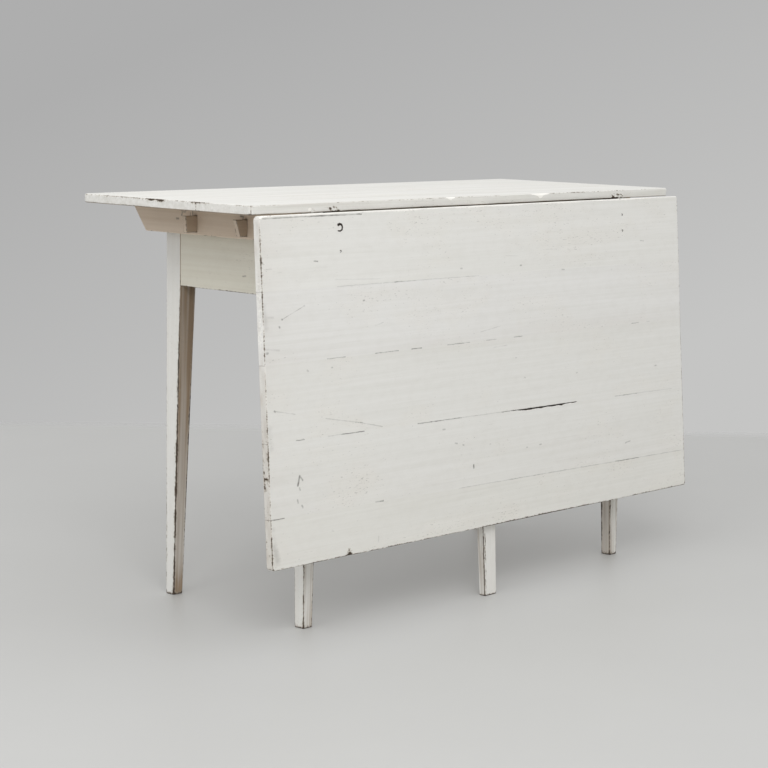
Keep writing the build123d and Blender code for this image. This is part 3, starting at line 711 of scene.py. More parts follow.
hinge = next(j for j in frame["joints"] if j["name"] == "leaf_hinge")
hinge_line = np.array(hinge["pos_m"])
hang_angle = math.radians(hinge["range_deg"][1])
top_low, top_high = box_of("top_front_board")
table_top = top_high[2]
board_thickness = top_high[2] - top_low[2]
middle = (top_low[0] + top_high[0]) / 2
leaf_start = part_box("leaf_board_1")[0][0] - middle
leaf_length = 1194 * mm
leaf_end_skew = 8 * mm
raised_gap = 2 * mm
leaf_edge = top_low[1] - raised_gap


def hung(points):
    """Points of the raised leaf where they are when it hangs."""
    y = points[:, 1] - hinge_line[1]
    z = points[:, 2] - hinge_line[2]
    cosine, sine = math.cos(hang_angle), math.sin(hang_angle)
    return np.stack([points[:, 0],
                     hinge_line[1] + y * cosine - z * sine,
                     hinge_line[2] + y * sine + z * cosine], 1)


def leaf_place(start):
    """Points of a board that starts so far down the leaf, set in the hanging leaf."""
    def place(points):
        x = points[:, 0] + leaf_start + middle
        return hung(np.stack([x, leaf_edge - start - points[:, 1], table_top - points[:, 2]], 1))
    return place


print("leaf hangs at", hinge["range_deg"][1], "degrees from level")

# %% Joints of the leaf
board_widths = [131 * mm, 123 * mm, 140 * mm, 132 * mm, 81.5 * mm]
joint_skews = [5 * mm, 0, 12 * mm, 14 * mm]
joint_places = np.cumsum(board_widths)[:-1]
leaf_width = sum(board_widths)
joint_half_width = 0.75

# Where each joint shows: from and to along the leaf in mm, and how dark
joint_lines = [
    [(-417, -304, 0.25), (-270, -216, 0.8), (-300, -39, 0.3)],
    [(-448, -403, 0.5), (-327, -266, 0.75), (-231, -204, 1.0), (-133, -71, 0.7), (-23, 6, 0.5), (58, 82, 0.6),
     (430, 453, 0.6), (481, 492, 0.5)],
    [(-531, -511, 1.0), (-453, -420, 0.45), (-420, -362, 1.0), (-221, -100, 0.95), (-100, 20, 0.3),
     (15, 120, 0.8), (120, 243, 1.0), (369, 442, 0.6), (442, 562, 0.25)],
    [(-600, -566, 1.0), (-113, 33, 0.3), (33, 207, 0.5), (207, 366, 0.35), (366, 445, 0.9), (445, 600, 0.4)],
]
cracked_board = 3
crack_start = 36 * mm
crack_end = 243 * mm
crack_width = 3.4 * mm
crack_grows = 70 * mm
crack_narrows = (192 * mm, 208 * mm)
crack_closes = 5 * mm
crack_depth = 6 * mm
crack_reach = 9 * mm


def joint_marks(number):
    """Marks along a joint of the leaf, where its paint has cracked."""
    marks = []
    for start, end, depth in joint_lines[number]:
        down = [(joint_places[number] + joint_skews[number] * x * mm / leaf_length) / mm for x in (start, end)]
        marks.append((start, down[0], end, down[1], joint_half_width, depth))
    return marks


def crack_opening(x):
    """Width of the open joint: it opens quickly, narrows to half over its last part and closes at once."""
    grow = unit((x - crack_start) / crack_grows) ** 0.7
    narrow = np.interp(x, crack_narrows, (1.0, 0.5))
    close = unit((crack_end - x) / crack_closes)
    return crack_width * np.minimum(np.minimum(grow, narrow), close)


def leaf_shape(number, start, width):
    """Skews the right end and the joints of a board, and opens the cracked joint."""
    above = joint_skews[number - 1] if number else 0
    below = joint_skews[number] if number < len(joint_skews) else 0

    def shape(bent, points):
        x = points[:, 0] + leaf_start
        bent[:, 0] += leaf_end_skew * (start + points[:, 1]) / leaf_width * points[:, 0] / leaf_length
        down = points[:, 1] / width
        bent[:, 1] += (above * (1 - down) + below * down) * x / leaf_length
        if number == cracked_board:
            ragged = 1 + 0.5 * drift(points, (9, 9, 9), 91 + number)
            open_part = near(points[:, 2], crack_depth) * near(points[:, 1], crack_reach)
            bent[:, 1] += crack_opening(x) * open_part * ragged
        return bent
    return shape


print(len(joint_places), "joints, one cracked open to", round(crack_width / mm, 1), "mm")

# %% Wear of the leaf
# How strongly the left arris is rubbed, at distances down the leaf in mm
left_rub = (12, 45, 300), (-0.15, 0.3, 0.18)
# Each pair: where a mark of use is, along or down the leaf or into its thickness, and how far it reaches
rubbed_stretch = 95 * mm, 45 * mm
bare_patch = 453 * mm, 22 * mm
patch_depth = 9 * mm, 5 * mm
stained_from = 330 * mm, 60 * mm
lower_rub_from = -100 * mm, 150 * mm
right_rub_from = 220 * mm, 80 * mm
lower_chip = -412 * mm, 6 * mm
lower_corner = 18 * mm
chip_size = 5.5 * mm
chip_reach = 12 * mm


def leaf_wear(start, width):
    """Wear of a board: dark glued sides, rubbed ends and lower edge, one chip, and a bright upper arris."""
    lines = [line for line in (start, start + width) if 0 < line < leaf_width - mm]

    def wear(local, seed):
        x, s, w = local[:, 0], local[:, 1], local[:, 2]
        from_left = x - leaf_start
        from_lower = np.abs(s - leaf_width)
        front = fading(w, 2.5 * mm)
        extra = np.zeros(len(x))
        for line in lines:
            extra = np.maximum(extra, unit(w / (1.5 * mm)) * (np.abs(s - line) < 0.01 * mm))
        # Left end: a rubbed arris and a bare patch with flecks below it
        extra += np.interp(s / mm, *left_rub) * fading(np.abs(from_left), 2.5 * mm) * front
        extra += 0.24 * hill(s, *rubbed_stretch) * fading(from_left, 5 * mm) * front
        flecks = 0.5 + 0.9 * drift(local, (50, 6, 4), 5)
        patch = 0.95 * hill(s, *bare_patch) * hill(w, *patch_depth) + 0.2 * beyond(s, *stained_from)
        extra += patch * near(from_left, 2 * mm) * flecks
        extra += 0.08 * fading(np.hypot(from_left, s - leaf_width + lower_corner), 14 * mm) * front
        # Lower edge and right end
        long_rub = 0.5 + 0.6 * drift(local, (120, even, even), 58)
        lower_rub = 0.15 + 0.4 * long_rub + 0.3 * beyond(x, *lower_rub_from)
        extra += lower_rub * fading(from_lower, 2.0 * mm) * front
        right_rub = 0.3 + 0.35 * beyond(s, *right_rub_from)
        extra += right_rub * fading(np.abs(from_left - leaf_length), 2.0 * mm) * front
        # Upper edge, whose paint is sound
        kept = 0.7 + 0.6 * drift(local, (50, even, even), 59)
        extra -= 0.5 * fading(s, 2.0 * mm) * front * kept
        chip = hill(x, *lower_chip) * fading(from_lower, 9 * mm) * fading(w, 6 * mm)
        return chip_size * chip * (from_lower < chip_reach), extra + 1.2 * chip
    return wear


print("leaf's lower edge chipped at", round(lower_chip[0] / mm), "mm from its middle")

# %% Thin paint, chalk and painted highlight of the leaf
# Shares of stain and of chalk white, which is a painted highlight, on the left end, and of soil on the face
# beside it, at distances down the leaf in mm
end_stain = (60, 160, 230, 350), (0.16, 0.05, 0.05, 0.25)
end_painted_highlight = (60, 160, 220, 300), (0.3, 0.42, 0.42, 0.0)
end_soil = (200, 330), (0.09, 0.04)
soiled_joint = 246 * mm, 20 * mm
soiled_below = 430 * mm, 40 * mm


def leaf_bare(start):
    """Thin paint of a board: its left end is stained, its face soiled at a joint, low down and at the left."""
    def bare(points, size):
        s = points[:, 1] + start
        stain = np.interp(s / mm, *end_stain) + 0.12 * drift(points, (50, 20, 6), 71)
        soil = 0.05 * hill(s, *soiled_joint) + 0.03 * beyond(s, *soiled_below)
        soil += np.interp(s / mm, *end_soil) * fading(points[:, 0], 60 * mm)
        soil *= np.clip(0.9 + 0.5 * drift(points, (200, 30, even), 74), 0, 2)
        return np.maximum(unit(stain) * near(points[:, 0], 2 * mm), soil * near(points[:, 2], 2 * mm))
    return bare


def leaf_chalk_and_highlight(number, start):
    """Chalk white: a painted highlight on the upper edge and the left end, and chips to the chalk ground at the
    crack.
    """
    def ground(local):
        x, s, w = local[:, 0], local[:, 1], local[:, 2]
        # Chalk white along the upper arris and on the left end is a painted highlight
        upper = (1.0 + 0.6 * drift(local, (60, even, even), 72)) * fading(s, 3 * mm) * fading(w, 4 * mm)
        share = np.maximum(upper, np.interp(s / mm, *end_painted_highlight) * near(x - leaf_start, 2 * mm))
        if number == cracked_board:
            chips = 0.35 + 0.6 * drift(local, (10, 10, even), 73)
            share = np.maximum(share, chips * (crack_opening(x) > 0) * fading(s - start, 5 * mm))
        return share
    return ground


# Where the left end's painted highlight is strongest
print("left end most chalky", end_painted_highlight[0][1], "to", end_painted_highlight[0][2], "mm down the leaf")

# %% Leaf boards
# White of the film and shade of its brush lines on each board; the two upper boards are a little lighter and
# the lowest a little darker
board_films = [("E7E6E2", "E2E1DC"), ("E6E5E2", "E1E0DC"), ("E4E3DF", "DFDED9"), ("E4E3DF", "DFDED9"),
               ("E3E2DD", "DEDDD7")]
mark_margin = 3 * mm
last_board = len(board_widths) - 1
leaf_corners = {0: [(0, 0, 9 * mm), (1, 0, 5 * mm)], last_board: [(0, 1, 6 * mm), (1, 1, 5 * mm)]}
for number, (start, width) in enumerate(zip([0.0, *joint_places], board_widths)):
    joined = [side for side in (0, 1) if 0 < number + side <= last_board]
    own_marks = [mark for mark in leaf_scratches if max(mark[1], mark[3]) * mm > start - mark_margin
                 and min(mark[1], mark[3]) * mm < start + width + mark_margin]
    for side in joined:
        own_marks += joint_marks(number + side - 1)
    film = [linear(code) for code in board_films[number]]
    timber(
        "leaf-board-{}".format(number + 1), (leaf_length, width, board_thickness), leaf_place(start), "leaf",
        ["leaf_board_{}".format(number + 1)],
        painted_pine("old oil paint on pine, leaf board {}".format(number + 1), own_marks, *film),
        11 + number, radius=1.7, worn=0.42, joined=joined, steps=(4.5, 5.0, 3.0),
        round_corners=leaf_corners.get(number, []), shape=leaf_shape(number, start, width),
        wear=leaf_wear(start, width), bare=leaf_bare(start), ground=leaf_chalk_and_highlight(number, start),
        origin=(leaf_start, start, 0),
    )
print("leaf of", len(board_widths), "boards,", sum(made.values()), "faces")

# %% [markdown]
# ## The fixed top
# Two boards, with their ends sawn a little short of the leaf's. The front edge meets the leaf, so its upper
# edge is chipped and the paint has broken away where the hinges work under it.

# %% Place of the top
top_length = top_high[0] - top_low[0]
top_joint = top_high[1]
top_back = box_of("top_back_board")[1][1]
top_depth = top_back - top_low[1]


def top_place(front):
    """Points of a board whose front edge lies at a depth, set in the fixed top."""
    def place(points):
        return np.stack([points[:, 0] + top_low[0], points[:, 1] + front, table_top - points[:, 2]], 1)
    return place


print("top", round(top_length / mm, 1), "mm long and", round(top_depth / mm, 1), "mm deep")

# %% Wear of the top
# Chips of the upper front edge and flakes lost at the hinges: place along the top and reach in mm, and strength
edge_chips = [(-85, 9, 0.8), (166, 12, 0.8), (182, 16, 1.3)]
hinge_flakes = [(-455, 5, 0.7), (-445, 5, 0.6), (-416, 6, 0.8), (-404, 7, 1.0), (-391, 6, 0.9), (-380, 4, 0.6),
                (411, 9, 0.9), (424, 6, 0.8), (437, 6, 0.7), (449, 5, 0.5)]
# Each pair: where it starts or lies, and how far it reaches
flaked_from = 5 * mm, 5 * mm
kept_clean_from = -250 * mm, 250 * mm
# Rubbed spots of the left end, from the front edge back, and their depth below the top
faint_spot = 140 * mm, 20 * mm
sharp_spot = 232 * mm, 5 * mm
flaked_spot = 254 * mm, 24 * mm
end_rub = 2 * mm, 3.5 * mm
chip_radius = 3.2 * mm
tip_radius = 3.0 * mm


def top_wear(local, seed):
    """Wear of the top: chips along its upper front edge, broken paint at the hinges and a rubbed left end."""
    x, y, w = local[:, 0], local[:, 1], local[:, 2]
    from_left = x + top_length / 2
    front_face = fading(y, 2 * mm)
    flakes = drift(local, (5, 7, 3), 31)
    chips = sum(depth * hill(x, spot * mm, reach * mm) for spot, reach, depth in edge_chips)
    hinges = sum(depth * hill(x, spot * mm, reach * mm) for spot, reach, depth in hinge_flakes)
    extra = hinges * beyond(w, *flaked_from) * front_face * (0.45 + 0.8 * flakes)
    lower_line = fading(np.abs(w - board_thickness), 1.5 * mm) * front_face
    extra -= (0.15 + 0.2 * beyond(x, *kept_clean_from)) * lower_line
    # Left end: spots, a dark joint and a rubbed front corner
    spots = 0.12 + 0.2 * hill(y, *faint_spot) + 0.6 * hill(y, *sharp_spot)
    spots += (0.45 + 0.6 * flakes) * hill(y, *flaked_spot)
    extra += spots * fading(from_left, 2 * mm) * hill(w, *end_rub)
    extra += 0.48 * fading(np.abs(y - top_joint + top_low[1]), 1.2 * mm) * fading(from_left, mm)
    extra += 0.4 * fading(np.hypot(from_left - 2 * mm, y - 2 * mm), 2.2 * mm)
    tip = fading(np.hypot(from_left, y - top_depth), 30 * mm)
    return chip_radius * chips * fading(w, 5 * mm) * fading(y, 5 * mm) + tip_radius * tip, extra


print(len(edge_chips), "chips and", len(hinge_flakes), "flakes along the front edge")

# %% Thin paint and chalk of the top
# Chips that stop at the chalk ground: place along the top, reach along it and depth in mm; then rings round the
# hinges: place and reach
chalk_wedges = [(-85, 14, 6), (176, 30, 9)]
chalk_rings = [(-392, 24), (-450, 12), (428, 26)]
ringed_from = 5 * mm, 4 * mm


def top_bare(points, size):
    """The underside was never painted, and the paint of the front edge and the left end is thin and stained."""
    under = beyond(points[:, 2], size[2] - 1.5 * mm, 1.5 * mm)
    front = 0.06 + 0.12 * drift(points, (90, 20, 10), 33)
    front *= unit(1.2 - points[:, 0] / (500 * mm)) * near(points[:, 1], 2 * mm)
    left = (0.06 + 0.06 * drift(points, (20, 60, 10), 34)) * near(points[:, 0], 2 * mm)
    return np.maximum(under, unit(np.maximum(front, left)))


def top_ground(local):
    """Chips of the front edge that stop at the chalk ground: at its upper corner and round the hinges."""
    x, y, w = local[:, 0], local[:, 1], local[:, 2]
    flakes = drift(local, (8, 8, 4), 32)
    share = np.zeros(len(x))
    for spot, reach, depth in chalk_wedges:
        wedge = 1.2 - np.abs(x - spot * mm) / (reach * mm) - w / (depth * mm)
        share = np.maximum(share, unit(2 * wedge + 0.4 * flakes) * (wedge > 0))
    for spot, reach in chalk_rings:
        ring = hill(x, spot * mm, reach * mm) * beyond(w, *ringed_from)
        share = np.maximum(share, ring * (0.5 + 0.7 * flakes))
    return share * fading(y, 6 * mm)


print(len(chalk_wedges) + len(chalk_rings), "chalky places")

# %% [markdown]
# ## Grooves and boards of the top
# The back board has two dovetail grooves, open at the back edge, for the tongues of the battens. They are cut
# as straight boxes first, and their sides are then drawn in towards the underside.

# %% Dovetail grooves
tongue_length = 60 * mm
tongue_depth = 6 * mm
tongue_root_half = 7.5 * mm
tongue_angle = math.radians(10)
tongue_flare = tongue_depth * math.tan(tongue_angle)
tongue_half = tongue_root_half + tongue_flare
tongue_gap = 0.15 * mm
groove_half = tongue_half + tongue_gap
tongue_middles = {side: sum(corner[0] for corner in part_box("top_batten_" + side)) / 2
                  for side in ("left", "right")}
grooves = []
for tongue_middle in tongue_middles.values():
    from_left = tongue_middle - top_low[0]
    groove_low = (from_left - groove_half, top_back - top_joint - tongue_length,
                  board_thickness - tongue_depth - tongue_gap)
    grooves.append((groove_low, (from_left + groove_half, 1.0, 1.0)))


def groove_flare(bent, points):
    """Narrows the dovetail grooves towards the underside."""
    low = beyond(points[:, 2], board_thickness - tongue_depth, tongue_depth)
    for tongue_middle in tongue_middles.values():
        across = points[:, 0] + top_low[0] - tongue_middle
        on_side = np.abs(np.abs(across) - groove_half) < 0.01 * mm
        bent[:, 0] -= np.where(on_side, np.sign(across) * tongue_flare * low, 0)
    return bent


print(len(grooves), "grooves", round(tongue_length / mm, 1), "mm long")

# %% Top boards
timber("top-front-board", (top_length, top_joint - top_low[1], board_thickness), top_place(top_low[1]), "table",
       ["top_front_board"], top_paint, 21, radius=1.6, worn=0.40, joined=(1,),
       steps=(4.5, 6.0, 3.0), round_corners=[(0, 0, 5 * mm), (1, 0, 6 * mm)], wear=top_wear, bare=top_bare,
       ground=top_ground, origin=(-top_length / 2, 0, 0))
timber("top-back-board", (top_length, top_back - top_joint, board_thickness), top_place(top_joint), "table",
       ["top_back_board"], top_paint, 22, radius=1.6, worn=0.36, joined=(0,), holes=grooves,
       steps=(6.0, 7.0, 3.0), round_corners=[(0, 1, 14 * mm), (1, 1, 8 * mm)], shape=groove_flare,
       wear=top_wear, bare=top_bare, origin=(-top_length / 2, top_joint - top_low[1], 0))
print("top of two boards,", sum(made.values()), "faces so far")

# %% [markdown]
# ## The legs
# Each leg is a square stick. Its two outer faces stand upright and the two inner ones taper from the apron to a
# foot little more than half as thick. Paint has gone from the outer corner, where shins and chairs rub it, and
# the inner faces were painted so thinly that the wood shows.

# %% Shape of a leg
leg_low, leg_high = box_of("leg_front_left")
leg_size = leg_high[0] - leg_low[0]
leg_top = top_low[2]
apron_bottom = box_of("apron_end_left")[0][2]
foot_size = 21.5 * mm


def leg_place(end, side):
    """Points of a leg, set at a corner of the frame and tapered below the apron."""
    low, high = box_of("leg_{}_{}".format(end, side))
    outer_x, inward_x = (low[0], 1) if side == "left" else (high[0], -1)
    outer_y, inward_y = (low[1], 1) if end == "front" else (high[1], -1)
    slim = foot_size / leg_size

    def place(points):
        share = slim + (1 - slim) * unit(points[:, 0] / apron_bottom)
        return np.stack([outer_x + inward_x * points[:, 1] * share,
                         outer_y + inward_y * points[:, 2] * share,
                         points[:, 0]], 1)
    return place


print("legs", round(leg_size / mm, 1), "mm square")

# %% Wear of a leg
# How strongly each corner is rubbed: from the outer faces inward along the table (v) and across its depth (w)
rubbed_corners = {
    "front": (((0, 0), 1.5), ((0, 1), 0.6), ((1, 0), 1.6), ((1, 1), 1.3)),
    "back": (((0, 0), 0.8), ((0, 1), 1.5), ((1, 0), 1.0), ((1, 1), 1.2)),
}
# Each pair: where it starts or lies, as a share of the width or a height, and how far it reaches
inner_face = 0.97, 0.03
knee = 250 * mm, 110 * mm
shin = 0, 120 * mm
dirty_foot = 0, 42 * mm
corner_reach = 4.6 * mm


def leg_wear(end):
    """Wear of a leg: corners and foot are rubbed to the wood, the back legs most at knee height."""
    def wear(local, seed):
        z, v, w = local[:, 0], local[:, 1], local[:, 2]
        lower = unit(1.05 - z / (600 * mm)) ** 0.6
        foot = fading(z, 4 * mm)
        extra = 0.8 * foot
        for number, ((corner_v, corner_w), strength) in enumerate(rubbed_corners[end]):
            from_corner = np.hypot(v - corner_v * leg_size, w - corner_w * leg_size)
            long_rub = 0.5 + 0.6 * drift(local, (90, even, even), seed + 40 + number)
            wander = 0.8 + 0.5 * drift(local, (13, even, even), seed + 60 + number)
            rub = lower * (0.35 + 0.75 * long_rub)
            if end == "back" and corner_w:
                rub += 0.35 * hill(z, *knee)
            if end == "back" and (corner_v, corner_w) == (0, 1):
                rub += 0.5 * hill(z, *shin)
            extra += strength * fading(from_corner, corner_reach * wander) * rub
        inner = beyond(np.maximum(v, w) / leg_size, *inner_face)
        streak = unit(drift(local, (110, 6, 6), seed + 70) - 0.3)
        bumps = unit(drift(local, (60, 500, 500), seed + 50) - 0.3)
        return mm * bumps * lower + 0.8 * mm * foot, extra + 0.9 * inner * lower * streak
    return wear


def leg_bare(end, side):
    """Thin paint of a leg: its two inner faces have hardly any, and low down its front or back is darkened as
    painted shade.
    """
    def bare(points, size):
        inner = np.maximum(points[:, 1] / size[1], points[:, 2] / size[2])
        streaks = unit(0.35 + 0.75 * drift(points, (120, 4, 4), 44))
        thin = 0.35 + 0.5 * streaks + 0.35 * beyond(points[:, 0], 100 * mm, 350 * mm)
        if end == "back":
            thin += 0.6 * hill(points[:, 0], *dirty_foot)
        # Low down, the face at the front or back is darkened in brown streaks: painted shade, as under the
        # hanging leaf at the front
        face = near(points[:, 2], 1.5 * mm)
        outer = 0.8 * face * near(points[:, 0], 320 * mm) * streaks
        # The front left leg's front face is a little darker all the way up: painted shade
        if (end, side) == ("front", "left"):
            outer = np.maximum(outer, 0.11 * face)
        return np.maximum(unit(thin) * beyond(inner, *inner_face), outer)
    return bare


print("legs most rubbed", round(knee[0] / mm), "mm above the floor at the back")

# %% Legs
for side in ("left", "right"):
    for end in ("front", "back"):
        timber("leg-{}-{}".format(end, side), (leg_top, leg_size, leg_size), leg_place(end, side), "table",
               ["leg_{}_{}".format(end, side)], frame_paint, 31 + len(made), radius=0.8,
               worn=0.34, steps=(6.0, 4.0, 4.0), wear=leg_wear(end), bare=leg_bare(end, side))
print("legs:", [name for name in made if name.startswith("leg")])

# %% [markdown]
# ## Aprons, battens and keys
# The end aprons and the battens under the top have a slot for each key, cut right through, because the keys can
# be drawn. The cells of the slot are left out of the block. A batten's ends slant in towards its lower
# edge, and a key tapers from its head to its tip.

# %% Keys
key_clearance = 0.3 * mm
key_slant = {"front": 11 * mm, "back": 2.5 * mm}
slant_sharpness = 8
tip_height_share = 26 / 31
tip_thickness_share = 7.5 / 9.5
key_boxes = {(side, end): box_of("locking_key_{}_{}".format(side, end))
             for side in ("left", "right") for end in ("front", "back")}


def key_place(side, end):
    """Points of a key from tip to head, tapered, with the head cut on a slant."""
    low, high = key_boxes[side, end]
    size = high - low
    centre = (low + high) / 2

    def place(points):
        along = points[:, 0] / size[0]
        tall = tip_height_share + (1 - tip_height_share) * along
        thick = tip_thickness_share + (1 - tip_thickness_share) * along
        x = points[:, 0] - key_slant[end] * along ** slant_sharpness * points[:, 1] / size[2]
        return np.stack([low[0] + x if side == "right" else high[0] - x,
                         centre[1] + (points[:, 2] - size[1] / 2) * thick,
                         centre[2] + (size[2] / 2 - points[:, 1]) * tall], 1)
    return place


def key_bare(points, size):
    """The paint of a key is thin, and thickest on the head's end, which was brushed over with the batten."""
    return 0.25 + 0.4 * unit((size[0] - points[:, 0]) / (2.5 * mm))


for (side, end), (low, high) in key_boxes.items():
    length, thickness, height = high - low
    timber("key-{}-{}".format(side, end), (length, height, thickness), key_place(side, end),
           "key_{}_{}".format(side, end), ["locking_key_{}_{}".format(side, end)], batten_paint,
           51 + len(made), radius=1.1, worn=0.66, steps=(4.0, 4.0, 3.0), bare=key_bare)
print(len(key_boxes), "keys", round(length / mm, 1), "mm long")

# %% Marks of the battens and aprons
batten_front = top_low[1] + 13 * mm
batten_length = 429 * mm
# Scuffs beside the left keys, where they were knocked out. Each: from a key's back side and down from the top,
# its end in the same way, half width (all in mm), and depth from 0 to 1
key_scuffs = {
    "back": [(3, 11, 4, 40, 1.2, 0.7), (9, 14, 10, 34, 1.1, 0.5), (24, 13, 32, 12, 1.8, 0.9),
             (31, 14, 33, 19, 1.9, 0.9), (42, 26, 47, 26, 1.8, 0.75), (22, 11, 23, 9, 1.6, 0.8)],
    "front": [(1, 14, 8, 13, 2.0, 0.75), (2, 16, 4, 22, 1.6, 0.6)],
}
scuffs = []
for end, spots in key_scuffs.items():
    key_side = (key_boxes["left", end][1][1] - batten_front) / mm
    scuffs += [(key_side + u, v, key_side + end_u, end_v, half_width, depth)
               for u, v, end_u, end_v, half_width, depth in spots]
apron_dent = [(119, 31, 127, 30, 1.2, 0.9)]
batten_paints = {
    "left": painted_pine("thin brown-stained paint on pine, scuffed", scuffs, *stained_film),
    "right": batten_paint,
}
apron_paints = {
    "left": painted_pine("old oil paint on pine, yellowed and dented", apron_dent, *yellowed_film),
    "right": apron_paint,
}


def batten_bare(points, size):
    """The brown-stained paint is thin all over."""
    return np.full(len(points), 0.12)


def apron_wear(local, seed):
    """The lower outer arris is rubbed."""
    return 0.0, 0.6 * fading(local[:, 1], 1.4 * mm) * fading(local[:, 2], 2 * mm)


def inside_bare(points, size):
    """The side turned to the inside of the frame was never painted."""
    return beyond(points[:, 2], size[2] - 2 * mm, 2 * mm)


print(len(scuffs), "scuffs beside the left keys")

# %% Battens
batten_slant = 41 * mm
slant_reach = 90 * mm


def from_face(low, high, outer, depth):
    """Place at a depth in from the outer one of two faces."""
    return high - depth if outer > 0 else low + depth


def key_slots(side, front, bottom, top_down=None):
    """Key slots of a piece that starts at a depth and a height. Its length runs along Y and its width up,
    or down where its height is given."""
    holes = []
    for end in ("front", "back"):
        low, high = key_boxes[side, end]
        y = low[1] - key_clearance - front, high[1] + key_clearance - front
        z = low[2] - key_clearance - bottom, high[2] + key_clearance - bottom
        if top_down:
            z = top_down - z[1], top_down - z[0]
        holes.append(((y[0], z[0], -1.0), (y[1], z[1], 1.0)))
    return holes


def make_batten(side, outer):
    """Batten under one end of the top: length along Y, width down from the top, thickness in from outside."""
    low, high = box_of("top_batten_" + side)
    height = leg_top - low[2]

    def place(points):
        slant = batten_slant * points[:, 1] / height
        from_front = near(points[:, 0], slant_reach)
        from_back = near(batten_length - points[:, 0], slant_reach)
        y = batten_front + points[:, 0] + slant * (from_front - from_back)
        return np.stack([from_face(low[0], high[0], outer, points[:, 2]), y, leg_top - points[:, 1]], 1)

    timber("batten-" + side, (batten_length, height, high[0] - low[0]), place, "table", ["top_batten_" + side],
           batten_paints[side], 61 + len(made), radius=1.6, worn=0.30,
           holes=key_slots(side, batten_front, low[2], height), steps=(6.0, 4.0, 5.0), bare=batten_bare)


def make_tongue(side):
    """Tongue of a batten: length to the top's back edge, width, and depth down from its flared head."""
    def place(points):
        slim = 1 - tongue_flare / tongue_half * points[:, 2] / tongue_depth
        return np.stack([tongue_middles[side] + (points[:, 1] - tongue_half) * slim,
                         top_back - tongue_length + points[:, 0],
                         leg_top + tongue_depth - points[:, 2]], 1)

    timber("batten-tongue-" + side, (tongue_length, 2 * tongue_half, tongue_depth), place, "table", [],
           frame_paint, 65 + len(made), radius=0.3, worn=0.3, steps=(6.0, 3.0, 3.0))


print("battens", round(batten_length / mm), "mm long")

# %% Aprons
hinge_thickness = 3 * mm
notch_gap = 0.4 * mm


def make_end_apron(side, outer):
    """Apron between two legs of one end: length along Y, width up, thickness in from outside."""
    low, high = box_of("apron_end_" + side)
    front = box_of("leg_front_" + side)[1][1]
    back = box_of("leg_back_" + side)[0][1]

    def place(points):
        x = from_face(low[0], high[0], outer, points[:, 2])
        return np.stack([x, front + points[:, 0], apron_bottom + points[:, 1]], 1)

    timber("end-apron-" + side, (back - front, leg_top - apron_bottom, high[0] - low[0]), place, "table",
           ["apron_end_" + side], apron_paints[side], 61 + len(made), radius=0.9, worn=0.22,
           holes=key_slots(side, front, apron_bottom), steps=(6.0, 5.0, 4.0), wear=apron_wear, bare=inside_bare)


def make_long_apron(end, outer):
    """Apron along the front or the back: length along X, width up, thickness in from outside. The front one
    is notched for the plates of the hinges."""
    low, high = box_of("apron_" + end)
    left = box_of("leg_{}_left".format(end))[1][0]
    right = box_of("leg_{}_right".format(end))[0][0]
    height = leg_top - apron_bottom
    notches = []
    for side in ("left", "right") if end == "front" else ():
        plate_low, plate_high = box_of("hinge_plate_" + side)
        notches.append(((plate_low[0] - notch_gap - left, height - hinge_thickness - notch_gap, -1.0),
                        (plate_high[0] + notch_gap - left, 1.0, 1.0)))

    def place(points):
        y = from_face(low[1], high[1], outer, points[:, 2])
        return np.stack([points[:, 0] + left, y, apron_bottom + points[:, 1]], 1)

    timber("apron-" + end, (right - left, height, high[1] - low[1]), place, "table", ["apron_" + end],
           apron_paint, 71 + len(made), radius=0.9, worn=0.22, holes=notches,
           steps=(8.0, 6.0, 4.0), bare=inside_bare)


for side, outer in (("left", -1), ("right", 1)):
    make_batten(side, outer)
    make_tongue(side)
    make_end_apron(side, outer)
for end, outer in (("front", -1), ("back", 1)):
    make_long_apron(end, outer)
print("battens and aprons,", len(made), "timbers so far")

# %% [markdown]
# ## The swing leg
# The fifth leg is a flat stick, wide in front and thin behind, splayed so that its front face lies along the
# hanging leaf, which leans on it. It hangs on a wooden knuckle further along the frame. Its top is hollowed
# where the leaf's upper edge turns past it.

# %% Shape of the swing leg
swing_low, swing_high = box_of("swing_leg")
gate_back = swing_high[1]
swing_height = swing_high[2]
swing_width = swing_high[0] - swing_low[0]
leaf_inner = hung(np.array([[0, leaf_edge, leg_top]]))[0]
lean = math.tan(math.pi / 2 - hang_angle)
swing_gap = 0.5 * mm
swing_foot_width = 32.5 * mm
swing_foot_depth = 14 * mm
shank_depth = 17 * mm
shank_height = 330 * mm


def swing_front(z):
    """Depth of the swing leg's front face at a height."""
    return leaf_inner[1] + (z - leaf_inner[2]) * lean + swing_gap


swing_depth = gate_back - swing_front(swing_height)
swing_backs = (swing_front(0) + swing_foot_depth, swing_front(shank_height) + shank_depth, gate_back)


def swing_place(points):
    """Swing leg points: height, width along X and depth from the front face."""
    z = points[:, 0]
    wide = np.interp(z, (0, apron_bottom), (swing_foot_width, swing_width))
    back = np.interp(z, (0, shank_height, apron_bottom), swing_backs)
    front = swing_front(z)
    return np.stack([swing_low[0] + points[:, 1] / swing_width * wide,
                     front + points[:, 2] / swing_depth * (back - front), z], 1)


print("swing leg", round(swing_height / mm, 1), "mm high")

# %% Swing leg
rubbed_below = 260 * mm
rubbed_fade = 60 * mm
# Height of each line's middle, and how far it reaches
long_line = 95 * mm, 34 * mm
short_line = 28 * mm, 22 * mm
# From the hinge line to the corner of the leaf that turns past the leg
leaf_corner = 2.5 * mm, 3.6 * mm
turning_gap = 0.6 * mm


